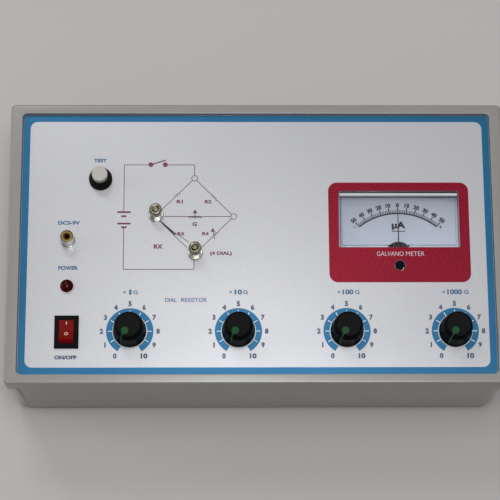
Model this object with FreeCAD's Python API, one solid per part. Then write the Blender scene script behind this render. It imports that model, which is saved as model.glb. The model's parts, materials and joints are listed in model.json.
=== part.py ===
import FreeCAD, Part
import math
import os

# Wheatstone bridge in a moulded bench case with a sunk front panel.
# Millimetres. The origin is on the table under the middle of the case,
# +X runs to the right of the panel, +Y to its back edge and +Z up.

# Case
case_length = 315.0
case_depth = 183.0
case_height = 87.0
foot_height = 3.0
bezel_skirt = 14.5
bezel_draft = 0.4
bezel_wall = 3.2
bezel_corner = 3.0
bezel_edge = 1.4
border_side = 8.0
border_front = 6.5
opening_corner = 2.5
opening_edge = 0.5
ledge_width = 5.0
ledge_thickness = 3.0
lower_step = 0.4
lower_draft = 0.5
lower_wall = 2.6
lower_corner = 9.5
lower_edge = 1.6
floor_thickness = 2.8
tongue_height = 3.0
tongue_thickness = 1.2
seam_gap = 0.1
rib_width = 1.8
rib_height = 4.0

# Case screws, their bosses and the feet
fastener_inset = 12.0
boss_radius = 4.6
boss_height = 8.0
screw_radius = 1.5
screw_hole_radius = 1.6
screw_length = 22.0
screw_head_radius = 2.9
screw_head_height = 1.9
foot_radius = 7.0
foot_taper = 0.8
foot_hole_radius = 3.6

# Front panel, sunk below the rim
panel_recess = 3.0
panel_thickness = 2.0
panel_gap = 0.35
weld_stud_radius = 1.5
weld_stud_length = 9.0
weld_stud_hole_radius = 1.75
stud_span_share = 0.62
nut_flats = 5.5
nut_height = 2.4
thread_gap = 0.06
stud_proud = 1.0

# Meter behind the panel
meter_side_margin = 8.5
meter_over_dials = 60.8
meter_flange_length = 92.0
meter_flange_depth = 74.0
meter_flange_thickness = 2.0
meter_corner = 4.0
meter_stud_inset = 3.4
cover_length = 83.0
cover_depth = 68.0
cover_height = 7.9
cover_wall = 1.8
seat_gap = 0.1
window_length = 76.5
window_depth = 37.2
window_rise = 11.9
window_corner = 1.0
window_gap = 0.25
window_sink = 0.2
barrel_radius = 25.5
barrel_drop = 12.5
barrel_wall = 2.0
barrel_depth = 20.0
pivot_drop = 21.0
scale_depth_below = 8.0
scale_plate_thickness = 0.5
scale_plate_drop = 15.5
scale_plate_gap = 0.6
scale_post_radius = 2.5
scale_post_inset = 8.0
hub_cover_radius = 8.8
hub_cover_drop = 9.9
hub_cover_tail = 2.6
hub_cover_thickness = 0.7
core_radius = 6.0
core_top_below = 10.5
core_height = 11.5
yoke_inner = 8.6
yoke_outer = 12.5
yoke_strut_width = 3.0
yoke_strut_sink = 1.5
coil_radius = 7.3
coil_side_thickness = 1.0
coil_width = 3.0
coil_bar = 0.8
coil_top_gap = 0.7
staff_radius = 0.5
staff_tip = 3.2
jewel_gap = 0.05
jewel_drop = 0.5
pointer_below = 6.4
pointer_thickness = 0.3
pointer_root_width = 0.9
pointer_tip_width = 0.35
pointer_reach = 43.6
pointer_tail = 7.0
pointer_hub_radius = 1.8
bridge_below = 5.3
bridge_thickness = 0.6
bridge_width = 3.0
zero_arm_thickness = 0.4
zero_arm_radius = 2.4
zero_boss_radius = 1.2
zero_drop = 18.4
zero_hole_radius = 3.4
zero_head_radius = 2.6
zero_head_height = 1.1
zero_slot_width = 0.8
zero_slot_depth = 0.6
zero_shank_radius = 1.5
zero_pin_radius = 0.4
zero_pin_offset = 1.0
zero_pin_play = 0.08
meter_terminal_radius = 2.0
meter_terminal_length = 10.0
meter_terminal_spread = 22.0

# Dials, one per decade
dial_names = ["x1", "x10", "x100", "x1000"]
dial_from_left = 69.8
dial_from_right = 26.1
dial_from_front = 27.7
knob_height = 19.2
knob_lift = 0.8
knob_skirt_radius = 10.4
knob_skirt_height = 1.5
knob_body_radius = 9.9
knob_shoulder_radius = 9.2
knob_shoulder_drop = 4.2
knob_rim_radius = 8.2
knob_rim_drop = 0.9
knob_top_radius = 7.5
knob_recess_radius = 8.4
knob_recess_height = 7.0
knob_cap_wall = 3.4
marker_angle = 240.0
marker_dot_radius = 2.25
marker_dot_distance = 4.3
marker_width = 1.0
marker_sink = 0.5
marker_proud = 0.1
shaft_radius = 3.0
shaft_gap = 0.06
rotor_radius = 10.5
rotor_thickness = 2.0
rotor_drop = 4.0
wiper_gap = 0.5
wafer_hole_gap = 0.3
bushing_radius = 4.7
bushing_height = 6.0
bushing_hole_radius = 4.9
dial_nut_flats = 13.0
dial_nut_height = 2.2
switch_radius = 14.5
switch_depth = 11.0
switch_wall = 1.4
wafer_thickness = 1.8
shaft_tail = 3.0
tag_count = 12
tag_step = 30.0
tag_radius = 12.6
tag_width = 1.2
tag_thickness = 0.5
tag_length = 5.0
resistor_depth = 2.4
resistor_height = 2.4
resistor_gap = 0.15

# Rocker switch
rocker_from_left = 30.5
rocker_from_front = 27.1
rocker_bezel_length = 15.1
rocker_bezel_depth = 20.8
rocker_bezel_height = 2.0
rocker_bezel_bevel = 0.5
rocker_body_length = 12.8
rocker_body_depth = 19.0
rocker_body_height = 14.0
rocker_mouth_length = 9.4
rocker_mouth_depth = 15.0
rocker_floor = 3.0
rocker_pivot_below = 2.2
rocker_throw = 24.0
rocker_paddle_gap = 0.15
rocker_end_gap = 0.2
rocker_paddle_drop = 2.0
rocker_pin_radius = 1.0
rocker_pin_length = 1.2
rocker_pin_gap = 0.06
cutout_gap = 0.1
blade_width = 4.8
blade_thickness = 0.8
blade_length = 8.0
blade_pitch = 6.0

# Test push button
test_from_left = 50.2
test_from_back = 43.3
test_base_radius = 7.4
test_rim_radius = 5.9
test_base_height = 2.2
test_body_height = 8.4
test_shank_radius = 6.0
test_bore_radius = 5.2
test_hole_radius = 6.15
test_depth = 14.0
test_floor = 2.0
test_cap_radius = 4.95
test_cap_height = 12.7
test_cap_edge = 0.8
test_cap_length = 10.5
test_stem_radius = 2.0
test_stem_gap = 0.06
test_travel = 3.0
test_nut_flats = 16.0
test_nut_height = 2.4
spring_wire_radius = 0.35
spring_radius = 3.4
spring_turns = 6
spring_runs_per_turn = 16
spring_end_gap = 0.1

# Supply jack
jack_from_left = 30.3
jack_over_rocker = 58.9
jack_radius = 4.15
jack_height = 11.6
jack_wall = 0.8
jack_flange_radius = 4.5
jack_flange_height = 1.4
jack_shank_radius = 3.2
jack_shank_length = 9.0
jack_hole_radius = 3.35
jack_edge = 0.3
insulator_sink = 0.5
contact_radius = 2.1
contact_bore_radius = 1.65
contact_bore_depth = 10.0
contact_tail = 4.0
contact_sink = 0.9
contact_gap = 0.3
jack_nut_flats = 9.0
jack_nut_height = 1.8

# Power lamp
lamp_from_left = 30.1
lamp_over_rocker = 29.5
lamp_flange_radius = 4.9
lamp_flange_height = 0.9
lamp_barrel_radius = 3.8
lamp_hole_radius = 3.95
lamp_barrel_length = 12.0
lamp_lens_radius = 4.05
lamp_lens_height = 3.2
lamp_seat_depth = 3.0
lamp_seat_radius = 2.9

# Binding posts
post_names = ["left", "right"]
post_offsets = [(85.6, 75.5), (110.4, 50.6)]
post_flange_radius = 4.75
post_flange_height = 1.6
post_flange_edge = 0.3
post_stud_radius = 2.0
post_height = 14.4
post_stud_proud = 0.5
post_tail = 14.0
post_washer_radius = 3.6
post_washer_height = 0.8
post_cap_gap = 0.1
post_neck_radius = 3.4
post_neck_height = 4.6
post_head_radius = 3.9
post_head_edge = 0.5
post_sleeve_radius = 2.9
post_hole_radius = 3.05
post_insulator_radius = 5.0
post_insulator_height = 1.4
post_nut_flats = 7.0
post_nut_height = 3.0

# Mains inlet in the back wall
inlet_from_left = 45.5
inlet_z = 34.0
inlet_flange_length = 31.0
inlet_flange_height = 24.0
inlet_flange_thickness = 1.2
inlet_seat_sink = 0.6
inlet_body_length = 27.0
inlet_body_height = 19.8
inlet_body_depth = 20.0
inlet_cavity_length = 24.2
inlet_cavity_height = 16.6
inlet_cavity_depth = 16.0
inlet_chamfer = 4.6
inlet_corner = 2.0
inlet_pin_spread = 7.0
inlet_pin_rise = 2.0
inlet_pin_width = 2.0
inlet_pin_height = 4.0
inlet_pin_sink = 2.0
inlet_tag_length = 6.0

# Supply parts inside
transformer_from_inlet = 50.0
transformer_from_back = 39.5
core_length = 44.0
core_stack = 18.0
core_rise = 37.0
core_window_length = 7.6
core_window_rise = 23.0
winding_gap = 0.3
winding_bulge = 7.0
core_foot_length = 9.0
core_foot_thickness = 2.0
board_from_transformer = 67.0
board_from_back = 36.5
board_length = 62.0
board_depth = 42.0
board_thickness = 1.6
board_post_radius = 3.0
board_post_height = 6.0
board_post_inset = 4.5
capacitor_radius = 5.0
capacitor_height = 14.0
regulator_size = (10.0, 4.4, 15.0)
rectifier_size = (9.0, 9.0, 6.0)
fuse_size = (22.0, 6.0, 6.5)
board_place_shares = [(-0.3, 0.2), (-0.1, 0.2), (0.25, 0.25), (0.3, -0.25), (-0.2, -0.25)]

# Working allowance by which a cutting tool passes the face it opens
overrun = 1.0

# Heights worked out from the sizes above
parting_z = case_height - bezel_skirt
floor_top_z = foot_height + floor_thickness
panel_top_z = case_height - panel_recess
panel_bottom_z = panel_top_z - panel_thickness
ledge_bottom_z = panel_bottom_z - ledge_thickness
opening_length = case_length - 2 * border_side
opening_depth = case_depth - 2 * border_front
cover_top_z = panel_bottom_z - seat_gap
cover_bottom_z = cover_top_z - cover_height
flange_bottom_z = cover_bottom_z - meter_flange_thickness
barrel_bottom_z = cover_bottom_z - barrel_depth
scale_top_z = panel_top_z - scale_depth_below
core_top_z = panel_top_z - core_top_below
core_bottom_z = core_top_z - core_height
coil_bottom_z = core_bottom_z - coil_top_gap - coil_bar
bridge_top_z = panel_top_z - bridge_below
bridge_bottom_z = bridge_top_z - bridge_thickness
wafer_top_z = panel_bottom_z - switch_depth
wafer_bottom_z = wafer_top_z - wafer_thickness
rocker_pivot_z = panel_top_z - rocker_pivot_below
post_cap_low = post_flange_height + post_washer_height + 2 * post_cap_gap

# Places on the panel, held from the edges of the opening
left_edge = -opening_length / 2
front_edge = -opening_depth / 2
dial_first_x = left_edge + dial_from_left
dial_last_x = -left_edge - dial_from_right
dial_pitch = (dial_last_x - dial_first_x) / (len(dial_names) - 1)
dial_y = front_edge + dial_from_front
rocker_x = left_edge + rocker_from_left
rocker_y = front_edge + rocker_from_front
lamp_x = left_edge + lamp_from_left
lamp_y = rocker_y + lamp_over_rocker
jack_x = left_edge + jack_from_left
jack_y = rocker_y + jack_over_rocker
test_x = left_edge + test_from_left
test_y = -front_edge - test_from_back
post_places = [(left_edge + along, dial_y + above) for along, above in post_offsets]
meter_x = -left_edge - ledge_width - meter_side_margin - meter_flange_length / 2
meter_y = dial_y + meter_over_dials
window_y = meter_y + window_rise
barrel_y = meter_y - barrel_drop
pivot_y = meter_y - pivot_drop
scale_plate_low_y = meter_y - scale_plate_drop
hub_cover_y = meter_y - hub_cover_drop
zero_y = meter_y - zero_drop

# Places inside, held from the back wall
inlet_x = inlet_from_left - case_length / 2
transformer_x = inlet_x + transformer_from_inlet
transformer_y = case_depth / 2 - transformer_from_back
board_x = transformer_x + board_from_transformer
board_y = case_depth / 2 - board_from_back

up = FreeCAD.Vector(0, 0, 1)
sides = (-1, 1)


def point(x, y, z):
    return FreeCAD.Vector(x, y, z)


def polar(radius, angle):
    turn = math.radians(angle)
    return point(radius * math.cos(turn), radius * math.sin(turn), 0)


def rounded_outline(length, depth, radius, z, x=0, y=0):
    """A rectangle with round corners about (x, y), as a closed wire at height z."""
    arcs = []
    for side_x, side_y, start in ((1, 1, 0), (-1, 1, 90), (-1, -1, 180), (1, -1, 270)):
        centre = point(x + side_x * (length / 2 - radius), y + side_y * (depth / 2 - radius), z)
        arcs.append([centre + polar(radius, start + turn) for turn in (0, 45, 90)])
    edges = []
    for index, arc in enumerate(arcs):
        following = arcs[(index + 1) % len(arcs)]
        edges.append(Part.Arc(*arc).toShape())
        edges.append(Part.LineSegment(arc[-1], following[0]).toShape())
    return Part.Wire(edges)


def rounded_block(length, depth, radius, z_low, z_high, x=0, y=0):
    outline = rounded_outline(length, depth, radius, z_low, x, y)
    return Part.Face(outline).extrude(point(0, 0, z_high - z_low))


def tapered_block(low, high):
    """A block between two round-cornered outlines, each given as its arguments."""
    return Part.makeLoft([rounded_outline(*low), rounded_outline(*high)], True, True)


def block(length, depth, z_low, z_high, x=0, y=0):
    corner = point(x - length / 2, y - depth / 2, z_low)
    return Part.makeBox(length, depth, z_high - z_low, corner)


def disc(radius, z_low, z_high, x=0, y=0):
    return Part.makeCylinder(radius, z_high - z_low, point(x, y, z_low), up)


def tube(outer, inner, z_low, z_high, x=0, y=0):
    return disc(outer, z_low, z_high, x, y).cut(disc(inner, z_low, z_high, x, y))


def turned(profile, x=0, y=0, z=0):
    """A solid of revolution about the upright axis at (x, y) from (radius, height) points."""
    points = [point(x + radius, y, z + height) for radius, height in profile]
    face = Part.Face(Part.makePolygon(points + points[:1]))
    return face.revolve(point(x, y, 0), up, 360)


def prism(points, along):
    """A straight solid from a closed outline of points, drawn out along a vector."""
    return Part.Face(Part.makePolygon(points + points[:1])).extrude(along)


def hex_nut(flats, bore, z_low, z_high, x=0, y=0):
    corner_radius = flats / math.sqrt(3)
    points = [point(x, y, z_low) + polar(corner_radius, 60 * k) for k in range(6)]
    nut = prism(points, point(0, 0, z_high - z_low))
    return nut.cut(disc(bore, z_low - overrun, z_high + overrun, x, y))


def soften(solid, radius, wanted):
    """Round the edges for which wanted(edge) is true."""
    edges = [edge for edge in solid.Edges if wanted(edge)]
    return solid.makeFillet(radius, edges)


def lies_at(z):
    """A test for edges that lie wholly at one height."""
    def test(edge):
        box = edge.BoundBox
        return abs(box.ZMin - z) < seat_gap / 10 and abs(box.ZMax - z) < seat_gap / 10
    return test


def four_places(span_x, span_y, x=0, y=0):
    return [(x + side_x * span_x, y + side_y * span_y) for side_x in sides for side_y in sides]


def turned_about(solid, x, y, angle):
    copy = solid.copy()
    copy.rotate(point(x, y, 0), up, angle)
    return copy


def fastener_places():
    return four_places(case_length / 2 - fastener_inset, case_depth / 2 - fastener_inset)


def panel_stud_places():
    reach_x = opening_length / 2 - ledge_width / 2
    reach_y = opening_depth / 2 * stud_span_share
    return four_places(reach_x, reach_y)


def meter_stud_places():
    reach_x = meter_flange_length / 2 - meter_stud_inset
    reach_y = meter_flange_depth / 2 - meter_stud_inset
    return four_places(reach_x, reach_y, meter_x, meter_y)


def dial_places():
    return [(dial_first_x + index * dial_pitch, dial_y) for index in range(len(dial_names))]


def lower_inset(z):
    """How far the lower wall stands in from the bezel's skirt at height z."""
    return lower_step + lower_draft * (parting_z - z) / (parting_z - foot_height)


def lower_outline(z, offset):
    inset = lower_inset(z) + offset
    return (case_length - 2 * inset, case_depth - 2 * inset, lower_corner - offset, z)


# Case pieces

def lower_case():
    shell = tapered_block(lower_outline(foot_height, 0), lower_outline(parting_z, 0))
    shell = soften(shell, lower_edge, lies_at(foot_height))
    high = lower_outline(parting_z, lower_wall)
    cavity = tapered_block(lower_outline(floor_top_z, lower_wall), high)
    shell = shell.cut(cavity)
    tongue_inset = lower_wall - tongue_thickness
    tongue_outer = lower_outline(parting_z, tongue_inset)
    tongue_top = parting_z + tongue_height
    tongue = rounded_block(*tongue_outer[:3], parting_z, tongue_top)
    tongue = tongue.cut(rounded_block(*high[:3], parting_z, tongue_top))
    shell = shell.fuse(tongue)
    for x, y in fastener_places():
        shell = shell.fuse(disc(boss_radius, floor_top_z, floor_top_z + boss_height, x, y))
        hole_top = floor_top_z + boss_height + overrun
        shell = shell.cut(disc(screw_hole_radius, foot_height - overrun, hole_top, x, y))
    for x, y in board_post_places():
        shell = shell.fuse(disc(board_post_radius, floor_top_z, floor_top_z + board_post_height, x, y))
    rib_length = case_depth - 2 * (lower_inset(floor_top_z) + lower_wall)
    for share in (-0.25, 0.25):
        rib = block(rib_width, rib_length, floor_top_z, floor_top_z + rib_height, case_length * share)
        shell = shell.fuse(rib.cut(cleared_floor()))
    shell = shell.cut(inlet_seat())
    return shell.removeSplitter()


def cleared_floor():
    """The space over the floor that the ribs leave to the supply parts."""
    length = core_length + 2 * core_foot_length + 2 * overrun
    high = floor_top_z + rib_height + overrun
    return block(length, core_stack + 2 * winding_bulge, floor_top_z, high, transformer_x, transformer_y)


def inlet_seat():
    """The flat seat and the cut-out for the mains inlet in the back wall."""
    seat_y = inlet_face_y() - inlet_flange_thickness
    seat = Part.makeBox(inlet_flange_length + 2 * cutout_gap, lower_wall * 2,
                        inlet_flange_height + 2 * cutout_gap,
                        point(inlet_x - inlet_flange_length / 2 - cutout_gap, seat_y,
                              inlet_z - inlet_flange_height / 2 - cutout_gap))
    hole = Part.makeBox(inlet_body_length + 2 * cutout_gap, lower_wall * 4,
                        inlet_body_height + 2 * cutout_gap,
                        point(inlet_x - inlet_body_length / 2 - cutout_gap, seat_y - lower_wall * 2,
                              inlet_z - inlet_body_height / 2 - cutout_gap))
    return seat.fuse(hole)


def inlet_face_y():
    """The inlet's outer face, just inside the bezel's line."""
    low_z = inlet_z - inlet_flange_height / 2
    return case_depth / 2 - lower_inset(low_z) + inlet_flange_thickness - inlet_seat_sink


def bezel_frame():
    low = (case_length, case_depth, bezel_corner, parting_z)
    high = (case_length - 2 * bezel_draft, case_depth - 2 * bezel_draft, bezel_corner, case_height)
    frame = soften(tapered_block(low, high), bezel_edge, lies_at(case_height))
    opening = rounded_block(opening_length, opening_depth, opening_corner,
                            panel_bottom_z, case_height + overrun)
    frame = frame.cut(opening)
    frame = soften(frame, opening_edge, opening_rim_test())
    window = rounded_block(opening_length - 2 * ledge_width, opening_depth - 2 * ledge_width,
                           opening_corner, parting_z - overrun, case_height)
    under = rounded_block(case_length - 2 * bezel_wall, case_depth - 2 * bezel_wall,
                          bezel_corner, parting_z - overrun, ledge_bottom_z)
    frame = frame.cut(window).cut(under)
    rabbet = lower_outline(parting_z, lower_wall - tongue_thickness - seam_gap)
    rabbet_top = parting_z + tongue_height + seam_gap
    frame = frame.cut(rounded_block(*rabbet[:3], parting_z - overrun, rabbet_top))
    pillar_bottom = floor_top_z + boss_height + seam_gap
    for x, y in fastener_places():
        pillar = disc(boss_radius, pillar_bottom, ledge_bottom_z, x, y)
        hole_top = foot_height + screw_length + seam_gap
        pillar = pillar.cut(disc(screw_radius + thread_gap, pillar_bottom - overrun, hole_top, x, y))
        frame = frame.fuse(pillar)
    for x, y in panel_stud_places():
        frame = frame.cut(disc(weld_stud_hole_radius, ledge_bottom_z - overrun, panel_bottom_z, x, y))
    return frame.removeSplitter()


def opening_rim_test():
    """A test for the upper edges of the opening, inside the rim's outer round."""
    at_top = lies_at(case_height)
    reach_x = opening_length / 2 + opening_edge
    reach_y = opening_depth / 2 + opening_edge

    def test(edge):
        box = edge.BoundBox
        inside = max(abs(box.XMin), abs(box.XMax)) < reach_x and max(abs(box.YMin), abs(box.YMax)) < reach_y
        return at_top(edge) and inside
    return test


def rubber_feet():
    profile = [(foot_hole_radius, 0), (foot_radius - foot_taper, 0), (foot_radius, foot_height / 3),
               (foot_radius, foot_height), (foot_hole_radius, foot_height)]
    return [turned(profile, x, y) for x, y in fastener_places()]


def case_screws():
    edge = screw_head_height / 3
    profile = [(0, -screw_head_height), (screw_head_radius - edge, -screw_head_height),
               (screw_head_radius, edge - screw_head_height), (screw_head_radius, 0),
               (screw_radius, 0), (screw_radius, screw_length), (0, screw_length)]
    return [turned(profile, x, y, foot_height) for x, y in fastener_places()]


def front_panel():
    panel = rounded_block(opening_length - 2 * panel_gap, opening_depth - 2 * panel_gap,
                          opening_corner - panel_gap, panel_bottom_z, panel_top_z)
    low = panel_bottom_z - overrun
    high = panel_top_z + overrun
    holes = [disc(bushing_hole_radius, low, high, x, y) for x, y in dial_places()]
    holes += [disc(post_hole_radius, low, high, x, y) for x, y in post_places]
    holes.append(disc(test_hole_radius, low, high, test_x, test_y))
    holes.append(disc(jack_hole_radius, low, high, jack_x, jack_y))
    holes.append(disc(lamp_hole_radius, low, high, lamp_x, lamp_y))
    holes.append(disc(zero_hole_radius, low, high, meter_x, zero_y))
    holes.append(block(rocker_body_length + 2 * cutout_gap, rocker_body_depth + 2 * cutout_gap,
                       low, high, rocker_x, rocker_y))
    holes.append(rounded_block(window_length, window_depth, window_corner, low, high, meter_x, window_y))
    for hole in holes:
        panel = panel.cut(hole)
    for x, y in panel_stud_places() + meter_stud_places():
        length = weld_stud_length if (x, y) in panel_stud_places() else meter_stud_length()
        panel = panel.fuse(disc(weld_stud_radius, panel_bottom_z - length, panel_bottom_z, x, y))
    return panel.removeSplitter()


def meter_stud_length():
    return panel_bottom_z - flange_bottom_z + nut_height + stud_proud


def stud_nuts():
    """The nuts that hold the panel to the ledge and the meter to the panel."""
    bore = weld_stud_radius + thread_gap
    nuts = [hex_nut(nut_flats, bore, ledge_bottom_z - nut_height, ledge_bottom_z, x, y)
            for x, y in panel_stud_places()]
    nuts += [hex_nut(nut_flats, bore, flange_bottom_z - nut_height, flange_bottom_z, x, y)
             for x, y in meter_stud_places()]
    return nuts


# Meter pieces

def meter_case():
    flange = rounded_block(meter_flange_length, meter_flange_depth, meter_corner,
                           flange_bottom_z, cover_bottom_z, meter_x, meter_y)
    barrel = disc(barrel_radius, barrel_bottom_z, cover_bottom_z, meter_x, barrel_y)
    cavity = disc(barrel_radius - barrel_wall, barrel_bottom_z + barrel_wall,
                  cover_bottom_z + overrun, meter_x, barrel_y)
    case = flange.fuse(barrel).cut(cavity)
    for x, y in meter_stud_places():
        case = case.cut(disc(weld_stud_hole_radius, flange_bottom_z - overrun,
                             cover_bottom_z + overrun, x, y))
    for x, y in scale_post_places():
        case = case.fuse(disc(scale_post_radius, cover_bottom_z, scale_bottom_z(), x, y))
    floor_z = barrel_bottom_z + barrel_wall
    for side in sides:
        post_x = meter_x + side * (yoke_inner + yoke_outer) / 2
        case = case.fuse(disc((yoke_outer - yoke_inner) / 2, floor_z, core_bottom_z, post_x, pivot_y))
        terminal_x = meter_x + side * meter_terminal_spread / 2
        case = case.cut(disc(meter_terminal_radius + thread_gap, barrel_bottom_z - overrun,
                             floor_z + overrun, terminal_x, terminal_y()))
    jewel_top = coil_bottom_z - jewel_drop
    jewel = disc(staff_radius * 4, floor_z, jewel_top, meter_x, pivot_y)
    socket = disc(staff_radius + jewel_gap, jewel_top - staff_tip, jewel_top + overrun, meter_x, pivot_y)
    return case.fuse(jewel).cut(socket).removeSplitter()


def scale_bottom_z():
    return scale_top_z - scale_plate_thickness


def terminal_y():
    """The two terminals stand in the free half of the barrel, behind the movement."""
    return (barrel_y + barrel_radius + pivot_y + yoke_outer) / 2 - barrel_wall


def scale_post_places():
    reach = cover_length / 2 - scale_post_inset
    return [(meter_x + side * reach, window_y) for side in sides]


def meter_cover():
    body = rounded_block(cover_length, cover_depth, meter_corner, cover_bottom_z, cover_top_z,
                         meter_x, meter_y)
    lens_top = panel_top_z - window_sink
    lens = rounded_block(window_length - 2 * window_gap, window_depth - 2 * window_gap,
                         window_corner - window_gap, cover_top_z, lens_top, meter_x, window_y)
    inner_corner = meter_corner - cover_wall
    room = rounded_block(cover_length - 2 * cover_wall, cover_depth - 2 * cover_wall, inner_corner,
                         cover_bottom_z - overrun, cover_top_z - cover_wall, meter_x, meter_y)
    rise_inset = window_gap + cover_wall
    rise = rounded_block(window_length - 2 * rise_inset, window_depth - 2 * rise_inset,
                         window_corner - window_gap, cover_bottom_z - overrun,
                         lens_top - cover_wall, meter_x, window_y)
    cover = body.fuse(lens).cut(room).cut(rise)
    bore = disc(zero_shank_radius + shaft_gap, cover_bottom_z, lens_top + overrun, meter_x, zero_y)
    return cover.cut(bore).removeSplitter()


def meter_scale_plate():
    inset = cover_wall + scale_plate_gap
    high_y = meter_y + cover_depth / 2 - inset
    depth = high_y - scale_plate_low_y
    plate = block(cover_length - 2 * inset, depth, scale_bottom_z(), scale_top_z,
                  meter_x, scale_plate_low_y + depth / 2)
    notch = disc(yoke_inner + scale_plate_gap, scale_bottom_z() - overrun, scale_top_z + overrun,
                 meter_x, pivot_y)
    return plate.cut(notch)


def meter_hub_cover():
    top_z = scale_top_z + hub_cover_thickness
    arch = disc(hub_cover_radius, scale_top_z, top_z, meter_x, hub_cover_y)
    keep = block(hub_cover_radius * 2, hub_cover_radius + hub_cover_tail, scale_top_z, top_z,
                 meter_x, hub_cover_y + (hub_cover_radius - hub_cover_tail) / 2)
    notch = disc(yoke_inner + scale_plate_gap / 2, scale_top_z - overrun, top_z + overrun,
                 meter_x, pivot_y)
    return arch.common(keep).cut(notch)


def meter_magnet():
    """The ring yoke, the iron core and the two struts that hold the core."""
    yoke = tube(yoke_outer, yoke_inner, core_bottom_z, core_top_z, meter_x, pivot_y)
    core = disc(core_radius, core_bottom_z, core_top_z, meter_x, pivot_y)
    low = core_bottom_z + yoke_strut_sink
    high = core_top_z - yoke_strut_sink
    strut = block(yoke_strut_width, yoke_inner * 2 + seat_gap, low, high, meter_x, pivot_y)
    return yoke.fuse([core, strut]).removeSplitter()


def meter_bridge():
    """The strip over the core that holds the upper jewel, on two legs."""
    leg_x = (yoke_inner + yoke_outer) / 2
    leg_length = (yoke_outer - yoke_inner) / 2
    strip = block(2 * leg_x + leg_length, bridge_width, bridge_bottom_z, bridge_top_z,
                  meter_x, pivot_y)
    bridge = strip
    for side in sides:
        leg = block(leg_length, bridge_width, core_top_z, bridge_bottom_z,
                    meter_x + side * leg_x, pivot_y)
        bridge = bridge.fuse(leg)
    boss_top = bridge_top_z + zero_arm_thickness + 2 * jewel_gap
    bridge = bridge.fuse(disc(zero_boss_radius, bridge_top_z, boss_top, meter_x, pivot_y))
    socket = disc(staff_radius + jewel_gap, bridge_bottom_z - overrun,
                  bridge_top_z, meter_x, pivot_y)
    return bridge.cut(socket).removeSplitter()


def meter_zero_arm():
    """The forked arm that the zero screw's pin moves about the jewel."""
    low = bridge_top_z + jewel_gap
    high = low + zero_arm_thickness
    ring = disc(zero_arm_radius, low, high, meter_x, pivot_y)
    pin_distance = zero_y - pivot_y + zero_pin_offset
    fork_reach = pin_distance + 2 * zero_pin_radius
    slot_width = 2 * (zero_pin_radius + zero_pin_play)
    fork = block(slot_width * 2, fork_reach, low, high, meter_x, pivot_y + fork_reach / 2)
    arm = ring.fuse(fork)
    slot_length = fork_reach - zero_arm_radius
    slot = block(slot_width, slot_length + overrun, low - overrun, high + overrun,
                 meter_x, pivot_y + zero_arm_radius + (slot_length + overrun) / 2)
    hole = disc(zero_boss_radius + shaft_gap, low - overrun, high + overrun, meter_x, pivot_y)
    return arm.cut(slot).cut(hole).removeSplitter()


def meter_zero_screw():
    head_low = cover_top_z + jewel_gap
    head_high = head_low + zero_head_height
    head = disc(zero_head_radius, head_low, head_high, meter_x, zero_y)
    shank_low = cover_top_z - cover_wall
    shank = disc(zero_shank_radius, shank_low, head_low, meter_x, zero_y)
    pin_low = bridge_top_z + jewel_gap
    pin = disc(zero_pin_radius, pin_low, shank_low, meter_x, zero_y + zero_pin_offset)
    slot = block(2 * zero_head_radius + overrun, zero_slot_width,
                 head_high - zero_slot_depth, head_high + overrun, meter_x, zero_y)
    return head.fuse([shank, pin]).cut(slot).removeSplitter()


def meter_pointer():
    low = panel_top_z - pointer_below
    high = low + pointer_thickness
    root = pointer_root_width / 2
    tip = pointer_tip_width / 2
    outline = [point(meter_x - root, pivot_y - pointer_tail, low),
               point(meter_x + root, pivot_y - pointer_tail, low),
               point(meter_x + root, pivot_y + pointer_hub_radius, low),
               point(meter_x + tip, pivot_y + pointer_reach, low),
               point(meter_x - tip, pivot_y + pointer_reach, low),
               point(meter_x - root, pivot_y + pointer_hub_radius, low)]
    needle = prism(outline, point(0, 0, pointer_thickness))
    hub = disc(pointer_hub_radius, low, high, meter_x, pivot_y)
    weight = disc(pointer_hub_radius / 2, low, high, meter_x, pivot_y - pointer_tail)
    hole = disc(staff_radius, low - overrun, high + overrun, meter_x, pivot_y)
    return needle.fuse([hub, weight]).cut(hole).removeSplitter()


def meter_coil():
    """The wound frame that swings in the gap, with its pivots."""
    top_low = core_top_z + coil_top_gap
    top_high = top_low + coil_bar
    outer = coil_radius + coil_side_thickness / 2
    frame = block(2 * outer, coil_width, coil_bottom_z, top_high, meter_x, pivot_y)
    inside = block(2 * outer - 2 * coil_side_thickness, coil_width + overrun,
                   coil_bottom_z + coil_bar, top_low, meter_x, pivot_y)
    frame = frame.cut(inside)
    jewel_low = coil_bottom_z - jewel_drop - staff_tip + jewel_gap
    lower = disc(staff_radius, jewel_low, coil_bottom_z, meter_x, pivot_y)
    upper = disc(staff_radius, top_high, bridge_top_z - jewel_gap, meter_x, pivot_y)
    return frame.fuse([lower, upper]).removeSplitter()


def meter_terminals():
    terminals = []
    for side in sides:
        x = meter_x + side * meter_terminal_spread / 2
        low = barrel_bottom_z - meter_terminal_length
        high = barrel_bottom_z + barrel_wall
        stud = disc(meter_terminal_radius, low, high, x, terminal_y())
        head = disc(meter_terminal_radius * 2, high, high + barrel_wall / 2, x, terminal_y())
        nut = hex_nut(post_nut_flats, meter_terminal_radius - thread_gap,
                      barrel_bottom_z - post_nut_height, barrel_bottom_z, x, terminal_y())
        terminals.append(stud.fuse([head, nut]).removeSplitter())
    return terminals


# Dial pieces, each made for the axis at (x, y)

def knob_profile():
    """The knob's outside from the skirt up to the edge of the top."""
    return [(knob_skirt_radius, knob_lift),
            (knob_skirt_radius, knob_lift + knob_skirt_height),
            (knob_body_radius, knob_lift + 2 * knob_skirt_height),
            (knob_shoulder_radius, knob_height - knob_shoulder_drop),
            (knob_rim_radius, knob_height - knob_rim_drop),
            (knob_top_radius, knob_height)]


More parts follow.
